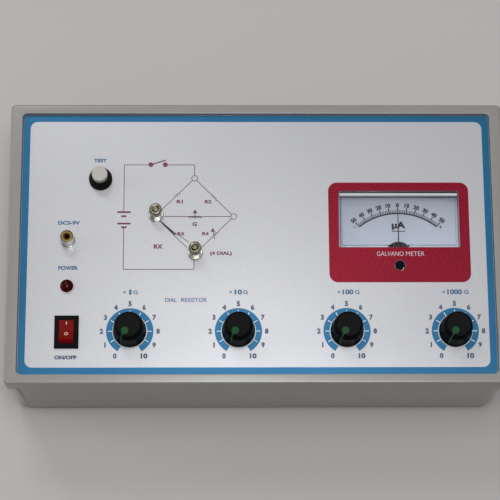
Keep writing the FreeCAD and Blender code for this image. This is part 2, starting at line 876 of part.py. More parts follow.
def dial_marker(x, y):
    """The dot on the knob's top and the line that runs over the edge to the skirt."""
    side = knob_profile()[1:]
    outer = [(radius + marker_proud, height) for radius, height in side[:-1]]
    outer.append((knob_top_radius + marker_proud, knob_height + marker_proud))
    inner = [(radius - marker_sink, height - marker_sink) for radius, height in side[1:]]
    start = knob_lift + 2 * knob_skirt_height
    path = [(knob_body_radius - marker_sink, start)] + inner[1:]
    path += [(marker_dot_distance, knob_height - marker_sink),
             (marker_dot_distance, knob_height + marker_proud)]
    path += list(reversed(outer))[:-1]
    points = [point(x + radius, y - marker_width / 2, panel_top_z + height) for radius, height in path]
    line = prism(points, point(0, marker_width, 0))
    dot = disc(marker_dot_radius, panel_top_z + knob_height - marker_sink,
               panel_top_z + knob_height + marker_proud, x + marker_dot_distance, y)
    return turned_about(line.fuse(dot).removeSplitter(), x, y, marker_angle)


def dial_knob(x, y):
    outside = knob_profile()
    profile = [(0, knob_recess_height), (knob_recess_radius, knob_recess_height),
               (knob_recess_radius, knob_lift)] + outside + [(0, knob_height)]
    knob = turned(profile, x, y, panel_top_z)
    knob = knob.cut(disc(shaft_radius, panel_top_z, panel_top_z + knob_height - knob_cap_wall, x, y))
    return knob.cut(dial_marker(x, y)).removeSplitter()


def dial_shaft(x, y):
    """The spindle with the rotor disc and wiper that it carries inside the switch."""
    low = wafer_bottom_z - shaft_tail
    shaft = disc(shaft_radius, low, panel_top_z + knob_height - knob_cap_wall, x, y)
    rotor_low = panel_bottom_z - rotor_drop - rotor_thickness
    rotor = disc(rotor_radius, rotor_low, rotor_low + rotor_thickness, x, y)
    wiper_low = wafer_top_z + wiper_gap
    wiper = block(rotor_radius, marker_width * 2, wiper_low, rotor_low, x + rotor_radius / 2, y)
    wiper = turned_about(wiper, x, y, marker_angle)
    return shaft.fuse([rotor, wiper]).removeSplitter()


def dial_switch(x, y):
    """The switch's housing with its threaded bushing."""
    cup = disc(switch_radius, wafer_top_z, panel_bottom_z, x, y)
    room = disc(switch_radius - switch_wall, wafer_top_z - overrun, panel_bottom_z - switch_wall * 2, x, y)
    bushing = disc(bushing_radius, panel_bottom_z, panel_top_z + bushing_height, x, y)
    bore = disc(shaft_radius + shaft_gap, wafer_top_z, panel_top_z + bushing_height + overrun, x, y)
    return cup.cut(room).fuse(bushing).cut(bore).removeSplitter()


def switch_wafers():
    """The contact discs with their ring of solder tags."""
    wafers = []
    for x, y in dial_places():
        wafer = tube(switch_radius, shaft_radius + wafer_hole_gap, wafer_bottom_z, wafer_top_z, x, y)
        tags = []
        for index in range(tag_count):
            tag = block(tag_thickness, tag_width, wafer_bottom_z - tag_length, wafer_bottom_z,
                        x + tag_radius, y)
            tags.append(turned_about(tag, x, y, marker_angle - tag_step * index))
        wafers.append(wafer.fuse(tags).removeSplitter())
    return wafers


def switch_resistors():
    """A resistor between each pair of neighbouring tags from 0 to 10."""
    reach = tag_radius * math.cos(math.radians(tag_step / 2))
    length = 2 * tag_radius * math.sin(math.radians(tag_step / 2)) - tag_width - 2 * resistor_gap
    high = wafer_bottom_z - resistor_gap
    resistors = []
    for x, y in dial_places():
        for index in range(tag_count - 2):
            body = block(resistor_depth, length, high - resistor_height, high, x + reach, y)
            angle = marker_angle - tag_step * (index + 1 / 2)
            resistors.append(turned_about(body, x, y, angle))
    return resistors


def dial_nuts():
    bore = bushing_radius + thread_gap
    return [hex_nut(dial_nut_flats, bore, panel_top_z, panel_top_z + dial_nut_height, x, y)
            for x, y in dial_places()]


# Rocker switch pieces

def rocker_end_radius():
    """The key's ends are round about the pivot and just pass the mouth of the bezel."""
    half_mouth = rocker_mouth_depth / 2 - rocker_end_gap
    return math.hypot(half_mouth, rocker_bezel_height + rocker_pivot_below)


def rocker_frame():
    bezel_top = panel_top_z + rocker_bezel_height
    bezel = block(rocker_bezel_length, rocker_bezel_depth, panel_top_z, bezel_top, rocker_x, rocker_y)
    bezel = bezel.makeChamfer(rocker_bezel_bevel, [edge for edge in bezel.Edges if lies_at(bezel_top)(edge)])
    body_low = panel_top_z - rocker_body_height
    body = block(rocker_body_length, rocker_body_depth, body_low, panel_top_z, rocker_x, rocker_y)
    swept_radius = rocker_end_radius() + rocker_end_gap
    room = block(rocker_mouth_length, 2 * swept_radius, body_low + rocker_floor, rocker_pivot_z,
                 rocker_x, rocker_y)
    frame = bezel.fuse(body).cut(rocker_pin(rocker_mouth_length / 2, swept_radius)).cut(room)
    pin_reach = rocker_mouth_length / 2 - rocker_paddle_gap + rocker_pin_length + rocker_pin_gap
    frame = frame.cut(rocker_pin(pin_reach, rocker_pin_radius + rocker_pin_gap))
    blades = []
    for index in (-1, 0, 1):
        blades.append(block(blade_width, blade_thickness, body_low - blade_length, body_low,
                            rocker_x, rocker_y + index * blade_pitch))
    return frame.fuse(blades).removeSplitter()


def rocker_pin(reach, radius):
    base = point(rocker_x - reach, rocker_y, rocker_pivot_z)
    return Part.makeCylinder(radius, 2 * reach, base, point(1, 0, 0))


def rocker_paddle():
    """The key, drawn level about its pivot and then tipped to its rest pose."""
    rise = rocker_bezel_height + rocker_pivot_below
    end_radius = rocker_end_radius()
    tilt = rocker_throw / 2
    corner = math.degrees(math.asin(rise / end_radius)) + tilt
    arc_angles = (corner, corner - tilt, corner - rocker_throw)
    back = [section_point(end_radius, angle) for angle in arc_angles]
    front = [section_point(end_radius, 180 - angle) for angle in arc_angles]
    low_back = point(back[2].x, back[2].y, rocker_pivot_z - rocker_paddle_drop)
    low_front = point(front[2].x, front[2].y, rocker_pivot_z - rocker_paddle_drop)
    top = section_point(rise / math.cos(math.radians(tilt)), 90)
    edges = [Part.LineSegment(top, back[0]).toShape(),
             Part.Arc(*back).toShape(),
             Part.LineSegment(back[2], low_back).toShape(),
             Part.LineSegment(low_back, low_front).toShape(),
             Part.LineSegment(low_front, front[2]).toShape(),
             Part.Arc(*reversed(front)).toShape(),
             Part.LineSegment(front[0], top).toShape()]
    width = rocker_mouth_length - 2 * rocker_paddle_gap
    key = Part.Face(Part.Wire(edges)).extrude(point(width, 0, 0))
    pin = rocker_pin(width / 2 + rocker_pin_length, rocker_pin_radius)
    key = key.fuse(pin).removeSplitter()
    key.rotate(point(rocker_x, rocker_y, rocker_pivot_z), point(1, 0, 0), -tilt)
    return key


def section_point(radius, angle):
    """A point of the key's side outline, with the angle measured up from the back."""
    turn = math.radians(angle)
    left = rocker_x - rocker_mouth_length / 2 + rocker_paddle_gap
    return point(left, rocker_y + radius * math.cos(turn), rocker_pivot_z + radius * math.sin(turn))


# Push button pieces

def test_button_body():
    low = panel_top_z - test_depth
    profile = [(0, -test_depth), (test_shank_radius, -test_depth), (test_shank_radius, 0),
               (test_base_radius, 0), (test_base_radius, test_base_height),
               (test_rim_radius, test_body_height), (0, test_body_height)]
    body = turned(profile, test_x, test_y, panel_top_z)
    bore = disc(test_bore_radius, low + test_floor, panel_top_z + test_body_height + overrun, test_x, test_y)
    guide = disc(test_stem_radius + test_stem_gap, low - overrun, low + test_floor, test_x, test_y)
    return body.cut(bore).cut(guide).removeSplitter()


def test_button_cap():
    """The cap with its stem, and the clip that stops it from rising out."""
    cap_low = test_cap_height - test_cap_length
    clip_high = -test_depth - seat_gap
    clip_low = clip_high - test_travel / 3
    clip_radius = test_stem_radius * 3 / 2
    profile = [(0, -test_depth - test_travel), (test_stem_radius, -test_depth - test_travel),
               (test_stem_radius, clip_low), (clip_radius, clip_low), (clip_radius, clip_high),
               (test_stem_radius, clip_high), (test_stem_radius, cap_low), (test_cap_radius, cap_low),
               (test_cap_radius, test_cap_height - test_cap_edge),
               (test_cap_radius - test_cap_edge / 3, test_cap_height - test_cap_edge / 3),
               (test_cap_radius - test_cap_edge, test_cap_height), (0, test_cap_height)]
    return turned(profile, test_x, test_y, panel_top_z)


def test_button_spring():
    """The coil under the cap, wound as short straight runs of wire."""
    low = panel_top_z - test_depth + test_floor + spring_wire_radius + spring_end_gap
    high = panel_top_z + test_cap_height - test_cap_length - spring_wire_radius - spring_end_gap
    runs = spring_turns * spring_runs_per_turn
    points = []
    for index in range(runs + 1):
        turn = polar(spring_radius, 360 * index / spring_runs_per_turn)
        points.append(point(test_x, test_y, low + (high - low) * index / runs) + turn)
    sections = [wire_section(place, 360 * index / spring_runs_per_turn) for index, place in enumerate(points)]
    return Part.makeLoft(sections, True, True)


def wire_section(place, angle):
    """The wire's six-sided section, stood upright across the coil."""
    outward = polar(spring_wire_radius, angle)
    rise = point(0, 0, spring_wire_radius)
    corners = []
    for step in range(6):
        turn = math.radians(60 * step)
        corners.append(place + outward * math.cos(turn) + rise * math.sin(turn))
    return Part.makePolygon(corners + corners[:1])


def test_button_nut():
    return hex_nut(test_nut_flats, test_shank_radius + thread_gap,
                   panel_bottom_z - test_nut_height, panel_bottom_z, test_x, test_y)


# Supply jack pieces

def dc_jack_shell():
    bore = jack_radius - jack_wall
    narrow = contact_radius + contact_gap
    profile = [(narrow, -jack_shank_length), (jack_shank_radius, -jack_shank_length),
               (jack_shank_radius, 0), (jack_flange_radius, 0), (jack_flange_radius, jack_flange_height),
               (jack_radius, jack_flange_height), (jack_radius, jack_height - jack_edge),
               (jack_radius - jack_edge, jack_height), (bore, jack_height), (bore, jack_flange_height),
               (narrow, jack_flange_height)]
    return turned(profile, jack_x, jack_y, panel_top_z)


def dc_jack_insulator():
    outer = jack_radius - jack_wall
    return tube(outer, contact_radius, panel_top_z + jack_flange_height,
                panel_top_z + jack_height - insulator_sink, jack_x, jack_y)


def dc_jack_contact():
    high = panel_top_z + jack_height - insulator_sink - contact_sink
    low = panel_top_z - jack_shank_length - contact_tail
    pin = disc(contact_radius, panel_top_z, high, jack_x, jack_y)
    tail = disc(contact_bore_radius, low, panel_top_z, jack_x, jack_y)
    bore = disc(contact_bore_radius, high - contact_bore_depth, high + overrun, jack_x, jack_y)
    return pin.fuse(tail).cut(bore).removeSplitter()


def dc_jack_nut():
    return hex_nut(jack_nut_flats, jack_shank_radius + thread_gap,
                   panel_bottom_z - jack_nut_height, panel_bottom_z, jack_x, jack_y)


# Lamp pieces

def power_lamp_body():
    seat_low = lamp_flange_height - lamp_seat_depth
    profile = [(0, -lamp_barrel_length), (lamp_barrel_radius, -lamp_barrel_length), (lamp_barrel_radius, 0),
               (lamp_flange_radius, 0), (lamp_flange_radius - lamp_flange_height / 3, lamp_flange_height),
               (lamp_seat_radius, lamp_flange_height), (lamp_seat_radius, seat_low), (0, seat_low)]
    return turned(profile, lamp_x, lamp_y, panel_top_z)


def power_lamp_lens():
    """A low dome on the flange with a plug that fills the seat below."""
    rise = lamp_lens_height
    sphere_radius = (lamp_lens_radius ** 2 + rise ** 2) / (2 * rise)
    base_z = panel_top_z + lamp_flange_height
    ball = Part.makeSphere(sphere_radius, point(lamp_x, lamp_y, base_z + rise - sphere_radius))
    dome = ball.common(disc(lamp_lens_radius, base_z, base_z + rise, lamp_x, lamp_y))
    plug = disc(lamp_seat_radius - seat_gap / 2, base_z - lamp_seat_depth + seat_gap, base_z, lamp_x, lamp_y)
    return dome.fuse(plug).removeSplitter()


# Binding post pieces

def post_studs():
    tail = -panel_thickness - post_tail
    edge = post_stud_radius / 4
    profile = [(0, tail), (post_stud_radius, tail), (post_stud_radius, 0), (post_flange_radius, 0),
               (post_flange_radius, post_flange_height - post_flange_edge),
               (post_flange_radius - post_flange_edge, post_flange_height),
               (post_stud_radius, post_flange_height), (post_stud_radius, post_height - edge),
               (post_stud_radius - edge, post_height), (0, post_height)]
    return [turned(profile, x, y, panel_top_z) for x, y in post_places]


def post_insulators():
    """The shouldered washers that keep the studs clear of the panel."""
    bore = post_stud_radius + thread_gap
    low = panel_bottom_z - post_insulator_height
    profile = [(bore, low), (post_insulator_radius, low), (post_insulator_radius, panel_bottom_z),
               (post_sleeve_radius, panel_bottom_z), (post_sleeve_radius, panel_top_z), (bore, panel_top_z)]
    return [turned(profile, x, y) for x, y in post_places]


def post_nuts():
    high = panel_bottom_z - post_insulator_height
    return [hex_nut(post_nut_flats, post_stud_radius + thread_gap, high - post_nut_height, high, x, y)
            for x, y in post_places]


def post_washer(x, y):
    low = panel_top_z + post_flange_height + post_cap_gap
    return tube(post_washer_radius, post_stud_radius + shaft_gap, low, low + post_washer_height, x, y)


def post_cap(x, y):
    """The thumb nut, with a plain neck under its knurled head."""
    neck_high = post_cap_low + post_neck_height
    high = post_height - post_stud_proud
    bore = post_stud_radius + shaft_gap
    profile = [(bore, post_cap_low), (post_neck_radius, post_cap_low), (post_neck_radius, neck_high),
               (post_head_radius - post_head_edge, neck_high), (post_head_radius, neck_high + post_head_edge),
               (post_head_radius, high - post_head_edge), (post_head_radius - post_head_edge, high),
               (bore, high)]
    return turned(profile, x, y, panel_top_z)


# Mains inlet pieces

def inlet_block(length, height, y_low, y_high):
    corner = point(inlet_x - length / 2, y_low, inlet_z - height / 2)
    return Part.makeBox(length, y_high - y_low, height, corner)


def inlet_cavity():
    """The socket's hollow, with the two upper corners cut off as a plug's are."""
    face_y = inlet_face_y()
    half = inlet_cavity_length / 2
    low = inlet_z - inlet_cavity_height / 2
    high = inlet_z + inlet_cavity_height / 2
    depth_y = face_y - inlet_cavity_depth
    points = [point(inlet_x - half, depth_y, low), point(inlet_x + half, depth_y, low),
              point(inlet_x + half, depth_y, high - inlet_chamfer),
              point(inlet_x + half - inlet_chamfer, depth_y, high),
              point(inlet_x - half + inlet_chamfer, depth_y, high),
              point(inlet_x - half, depth_y, high - inlet_chamfer)]
    return prism(points, point(0, inlet_cavity_depth + overrun, 0))


def mains_inlet_body():
    face_y = inlet_face_y()
    seat_y = face_y - inlet_flange_thickness
    flange = inlet_block(inlet_flange_length, inlet_flange_height, seat_y, face_y)
    corners = [edge for edge in flange.Edges if edge.BoundBox.YLength > inlet_flange_thickness / 2]
    flange = flange.makeFillet(inlet_corner, corners)
    body = inlet_block(inlet_body_length, inlet_body_height, face_y - inlet_body_depth, seat_y)
    inlet = flange.fuse(body).cut(inlet_cavity())
    for pin in mains_inlet_pins():
        inlet = inlet.cut(pin)
    return inlet.removeSplitter()


def mains_inlet_pins():
    face_y = inlet_face_y()
    low = face_y - inlet_body_depth - inlet_tag_length
    length = face_y - inlet_pin_sink - low
    places = [(-inlet_pin_spread, -inlet_pin_rise), (0, inlet_pin_rise), (inlet_pin_spread, -inlet_pin_rise)]
    pins = []
    for x, z in places:
        corner = point(inlet_x + x - inlet_pin_width / 2, low, inlet_z + z - inlet_pin_height / 2)
        pins.append(Part.makeBox(inlet_pin_width, length, inlet_pin_height, corner))
    return pins


# Supply parts on the floor

def transformer_core():
    """The stack of laminations with two windows, and its clamp feet."""
    high = floor_top_z + core_rise
    core = block(core_length, core_stack, floor_top_z, high, transformer_x, transformer_y)
    middle_z = floor_top_z + core_rise / 2
    leg = (core_length - 2 * core_window_length) / 4
    for side in sides:
        x = transformer_x + side * (leg + core_window_length / 2)
        window = block(core_window_length, core_stack + 2 * overrun,
                       middle_z - core_window_rise / 2, middle_z + core_window_rise / 2, x, transformer_y)
        core = core.cut(window)
        foot_x = transformer_x + side * (core_length + core_foot_length) / 2
        foot = block(core_foot_length, core_stack, floor_top_z, floor_top_z + core_foot_thickness,
                     foot_x, transformer_y)
        hole = disc(screw_hole_radius, floor_top_z - overrun, floor_top_z + core_foot_thickness + overrun,
                    foot_x, transformer_y)
        core = core.fuse(foot).cut(hole)
    return core.removeSplitter()


def transformer_winding():
    leg = (core_length - 2 * core_window_length) / 2
    length = leg + 2 * (core_window_length - winding_gap)
    depth = core_stack + 2 * winding_bulge
    middle_z = floor_top_z + core_rise / 2
    reach = core_window_rise / 2 - winding_gap
    coil = rounded_block(length, depth, winding_bulge / 2, middle_z - reach, middle_z + reach,
                         transformer_x, transformer_y)
    hole = block(leg + 2 * winding_gap, core_stack + 2 * winding_gap, middle_z - reach - overrun,
                 middle_z + reach + overrun, transformer_x, transformer_y)
    return coil.cut(hole)


def board_post_places():
    reach_x = board_length / 2 - board_post_inset
    reach_y = board_depth / 2 - board_post_inset
    return four_places(reach_x, reach_y, board_x, board_y)


def circuit_board():
    """The supply board with two capacitors, a regulator, a rectifier and a fuse."""
    low = floor_top_z + board_post_height
    high = low + board_thickness
    solids = [block(board_length, board_depth, low, high, board_x, board_y)]
    places = [(board_x + share_x * board_length, board_y + share_y * board_depth)
              for share_x, share_y in board_place_shares]
    for x, y in places[:2]:
        solids.append(disc(capacitor_radius, high, high + capacitor_height, x, y))
    for (x, y), size in zip(places[2:], (regulator_size, rectifier_size, fuse_size)):
        solids.append(block(size[0], size[1], high, high + size[2], x, y))
    return solids


def export(name, shape):
    solids = shape if isinstance(shape, list) else [shape]
    solids = [solid for item in solids for solid in item.Solids]
    whole = solids[0] if len(solids) == 1 else Part.makeCompound(solids)
    whole.exportStep(os.path.join("parts", name + ".step"))


def main():
    os.makedirs("parts", exist_ok=True)
    single_pieces = [
        lower_case, bezel_frame, rubber_feet, case_screws, front_panel, stud_nuts,
        meter_case, meter_cover, meter_scale_plate, meter_hub_cover, meter_magnet, meter_bridge,
        meter_zero_arm, meter_zero_screw, meter_pointer, meter_coil, meter_terminals,
        switch_wafers, switch_resistors, dial_nuts, rocker_frame, rocker_paddle,
        test_button_body, test_button_cap, test_button_spring, test_button_nut,
        dc_jack_shell, dc_jack_insulator, dc_jack_contact, dc_jack_nut,
        power_lamp_body, power_lamp_lens, post_studs, post_insulators, post_nuts,
        mains_inlet_body, mains_inlet_pins, transformer_core, transformer_winding, circuit_board,
    ]
    for make in single_pieces:
        export(make.__name__, make())
    for name, place in zip(dial_names, dial_places()):
        for make in (dial_knob, dial_marker, dial_shaft, dial_switch):
            export(make.__name__ + "_" + name, make(*place))
    for name, place in zip(post_names, post_places):
        for make in (post_washer, post_cap):
            export(make.__name__ + "_" + name, make(*place))


main()
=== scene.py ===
import json
import math
import bmesh
import bpy
from mathutils import Matrix, Vector


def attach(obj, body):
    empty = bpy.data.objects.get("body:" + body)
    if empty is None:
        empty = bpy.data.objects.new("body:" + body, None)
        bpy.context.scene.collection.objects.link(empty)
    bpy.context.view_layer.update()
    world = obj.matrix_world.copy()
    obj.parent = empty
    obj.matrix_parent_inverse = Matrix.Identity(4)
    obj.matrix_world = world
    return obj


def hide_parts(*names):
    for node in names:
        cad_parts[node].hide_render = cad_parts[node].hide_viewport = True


# Wheatstone bridge in a moulded bench case: looks, printed panel, lights and camera.
# Metres, in the frame of the solids. Sizes in the helpers are given in millimetres.

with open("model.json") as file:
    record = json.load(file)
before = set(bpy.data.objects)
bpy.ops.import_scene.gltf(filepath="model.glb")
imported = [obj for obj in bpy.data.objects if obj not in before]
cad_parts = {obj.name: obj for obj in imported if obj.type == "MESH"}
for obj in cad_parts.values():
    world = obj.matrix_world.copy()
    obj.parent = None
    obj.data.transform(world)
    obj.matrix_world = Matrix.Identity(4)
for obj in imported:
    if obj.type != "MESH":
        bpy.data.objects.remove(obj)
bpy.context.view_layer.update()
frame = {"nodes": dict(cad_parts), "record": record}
nodes = frame["nodes"]

MM = 0.001
PANEL = 84.0
RIM = 87.0
FILM = 0.02
PRINT = 0.04
INK = 0.06
SMOOTH_BELOW = 32
WELD = 0.00001
ARC_STEPS = 60
TURNED_STEPS = 72

METER_X = 90.0
PIVOT_Y = -17.5
PLATE = 76.0
COVER_TOP = 83.8
SCALE_STEP = 7.9
DIALS = {"x1": -79.7, "x10": -12.0, "x100": 55.7, "x1000": 123.4}
DIAL_Y = -57.3
POSTS = {"left": (-63.9, 18.2), "right": (-39.1, -6.7)}
ROCKER = (-119.0, -57.9)
LAMP = (-119.4, -28.4)
LIGHT_AIM = (0, 0, 0.05)
JACK = (-119.2, 1.0)
TEST = (-99.3, 41.7)


# Colours

def paint(red, green, blue):
    """A colour written as it shows, from 0 to 255, as the shader wants it."""
    def channel(value):
        value = value / 255
        return value / 12.92 if value <= 0.04045 else ((value + 0.055) / 1.055) ** 2.4
    return (channel(red), channel(green), channel(blue), 1.0)


# Shared effects

def effect_group(name, inputs, outputs):
    group = bpy.data.node_groups.new(name, "ShaderNodeTree")
    for label, kind, value in inputs:
        socket = group.interface.new_socket(label, in_out="INPUT", socket_type=kind)
        socket.default_value = value
    for label, kind in outputs:
        group.interface.new_socket(label, in_out="OUTPUT", socket_type=kind)
    start = group.nodes.new("NodeGroupInput")
    end = group.nodes.new("NodeGroupOutput")
    place = group.nodes.new("ShaderNodeTexCoord")
    return group, start, end, place


def join(group, source, target):
    group.links.new(source, target)


def noise(group, place, scale, detail, roughness=0.55):
    node = group.nodes.new("ShaderNodeTexNoise")
    node.inputs["Detail"].default_value = detail
    node.inputs["Roughness"].default_value = roughness
    join(group, place.outputs["Object"], node.inputs["Vector"])
    join(group, scale, node.inputs["Scale"])
    return node


def arithmetic(group, operation, first, second):
    node = group.nodes.new("ShaderNodeMath")
    node.operation = operation
    for socket, value in zip(node.inputs, (first, second)):
        if isinstance(value, (int, float)):
            socket.default_value = value
        else:
            join(group, value, socket)
    return node.outputs["Value"]


def make_mottle():
    """Two close tones in fine grains over slow clouds, as pigment and film show them."""
    group, start, end, place = effect_group(
        "pigment_mottle",
        [("Tone", "NodeSocketColor", (0.5, 0.5, 0.5, 1)), ("Other Tone", "NodeSocketColor", (0.4, 0.4, 0.4, 1)),
         ("Grains", "NodeSocketFloat", 2000.0), ("Clouds", "NodeSocketFloat", 20.0),
         ("Cloud Share", "NodeSocketFloat", 0.4)],
        [("Color", "NodeSocketColor")])
    fine = noise(group, place, start.outputs["Grains"], 2.0)
    slow = noise(group, place, start.outputs["Clouds"], 3.0)
    blend = group.nodes.new("ShaderNodeMix")
    blend.data_type = "FLOAT"
    join(group, start.outputs["Cloud Share"], blend.inputs["Factor"])
    join(group, fine.outputs["Fac"], blend.inputs["A"])
    join(group, slow.outputs["Fac"], blend.inputs["B"])
    spread = group.nodes.new("ShaderNodeMapRange")
    spread.inputs["From Min"].default_value = 0.32
    spread.inputs["From Max"].default_value = 0.68
    join(group, blend.outputs["Result"], spread.inputs["Value"])
    tones = group.nodes.new("ShaderNodeMix")
    tones.data_type = "RGBA"
    join(group, spread.outputs["Result"], tones.inputs["Factor"])
    join(group, start.outputs["Tone"], tones.inputs[6])
    join(group, start.outputs["Other Tone"], tones.inputs[7])
    join(group, tones.outputs[2], end.inputs["Color"])
    return group


def make_wear():
    """Roughness that drifts with handling, in soft smears and fine specks."""
    group, start, end, place = effect_group(
        "handling_smears",
        [("Roughness", "NodeSocketFloat", 0.5), ("Spread", "NodeSocketFloat", 0.1),
         ("Smears", "NodeSocketFloat", 35.0)],
        [("Roughness", "NodeSocketFloat")])
    slow = noise(group, place, start.outputs["Smears"], 4.0, 0.65)
    centred = arithmetic(group, "SUBTRACT", slow.outputs["Fac"], 0.5)
    scaled = arithmetic(group, "MULTIPLY", centred, start.outputs["Spread"])
    total = arithmetic(group, "ADD", scaled, start.outputs["Roughness"])
    join(group, total, end.inputs["Roughness"])
    return group


def make_grain():
    """The fine moulded or printed texture, as a surface normal."""
    group, start, end, place = effect_group(
        "surface_grain",
        [("Grains", "NodeSocketFloat", 1500.0), ("Strength", "NodeSocketFloat", 0.1),
         ("Height", "NodeSocketFloat", 0.00002)],
        [("Normal", "NodeSocketVector")])
    fine = noise(group, place, start.outputs["Grains"], 3.0, 0.6)
    bump = group.nodes.new("ShaderNodeBump")
    join(group, start.outputs["Strength"], bump.inputs["Strength"])
    join(group, start.outputs["Height"], bump.inputs["Distance"])
    join(group, fine.outputs["Fac"], bump.inputs["Height"])
    join(group, bump.outputs["Normal"], end.inputs["Normal"])
    return group


def make_shade():
    """How far a place lies between two lines across the panel, for a painted shadow."""
    group, start, end, place = effect_group(
        "shade_ramp", [("From", "NodeSocketFloat", 0.0), ("To", "NodeSocketFloat", 1.0)],
        [("Share", "NodeSocketFloat")])
    parts = group.nodes.new("ShaderNodeSeparateXYZ")
    join(group, place.outputs["Object"], parts.inputs["Vector"])
    ramp = group.nodes.new("ShaderNodeMapRange")
    join(group, parts.outputs["Y"], ramp.inputs["Value"])
    join(group, start.outputs["From"], ramp.inputs["From Min"])
    join(group, start.outputs["To"], ramp.inputs["From Max"])
    join(group, ramp.outputs["Result"], end.inputs["Share"])
    return group


MOTTLE = make_mottle()
SHADE = make_shade()
WEAR = make_wear()
GRAIN = make_grain()


def faded(tree, colour, near, far, least):
    """The colour with a painted shadow: darker towards the far side."""
    ramp = tree.nodes.new("ShaderNodeGroup")
    ramp.node_tree = SHADE
    ramp.inputs["From"].default_value = near
    ramp.inputs["To"].default_value = far
    mix = tree.nodes.new("ShaderNodeMix")
    mix.data_type = "RGBA"
    mix.blend_type = "MULTIPLY"
    mix.inputs[7].default_value = (least, least, least, 1)
    tree.links.new(ramp.outputs["Share"], mix.inputs["Factor"])
    tree.links.new(colour, mix.inputs[6])
    return mix.outputs[2]


def finish(name, tone, other, roughness, spread=0.08, grains=1500.0, grain_strength=0.1, grain_height=0.00002,
           clouds=20.0, cloud_share=0.4, pigment=2500.0, shadow_span=None, shader_sockets=None):
    """A material: pigment, handling smears and grain about one Principled shader, and a painted shadow where a span
    is given.
    """
    material = bpy.data.materials.new(name)
    material.use_nodes = True
    tree = material.node_tree
    shader = tree.nodes["Principled BSDF"]
    groups = {}
    for key, group in (("mottle", MOTTLE), ("wear", WEAR), ("grain", GRAIN)):
        groups[key] = tree.nodes.new("ShaderNodeGroup")
        groups[key].node_tree = group
    mottle = groups["mottle"].inputs
    mottle["Tone"].default_value = tone
    mottle["Other Tone"].default_value = other
    mottle["Grains"].default_value = pigment
    mottle["Clouds"].default_value = clouds
    mottle["Cloud Share"].default_value = cloud_share
    wear = groups["wear"].inputs
    wear["Roughness"].default_value = roughness
    wear["Spread"].default_value = spread
    grain = groups["grain"].inputs
    grain["Grains"].default_value = grains
    grain["Strength"].default_value = grain_strength
    grain["Height"].default_value = grain_height
    colour = groups["mottle"].outputs["Color"]
    # Painted shadow: the colour darkens across the panel.
    if shadow_span:
        colour = faded(tree, colour, *shadow_span)
    tree.links.new(colour, shader.inputs["Base Color"])
    tree.links.new(groups["wear"].outputs["Roughness"], shader.inputs["Roughness"])
    tree.links.new(groups["grain"].outputs["Normal"], shader.inputs["Normal"])
    for socket, value in (shader_sockets or {}).items():
        shader.inputs[socket].default_value = value
    return material


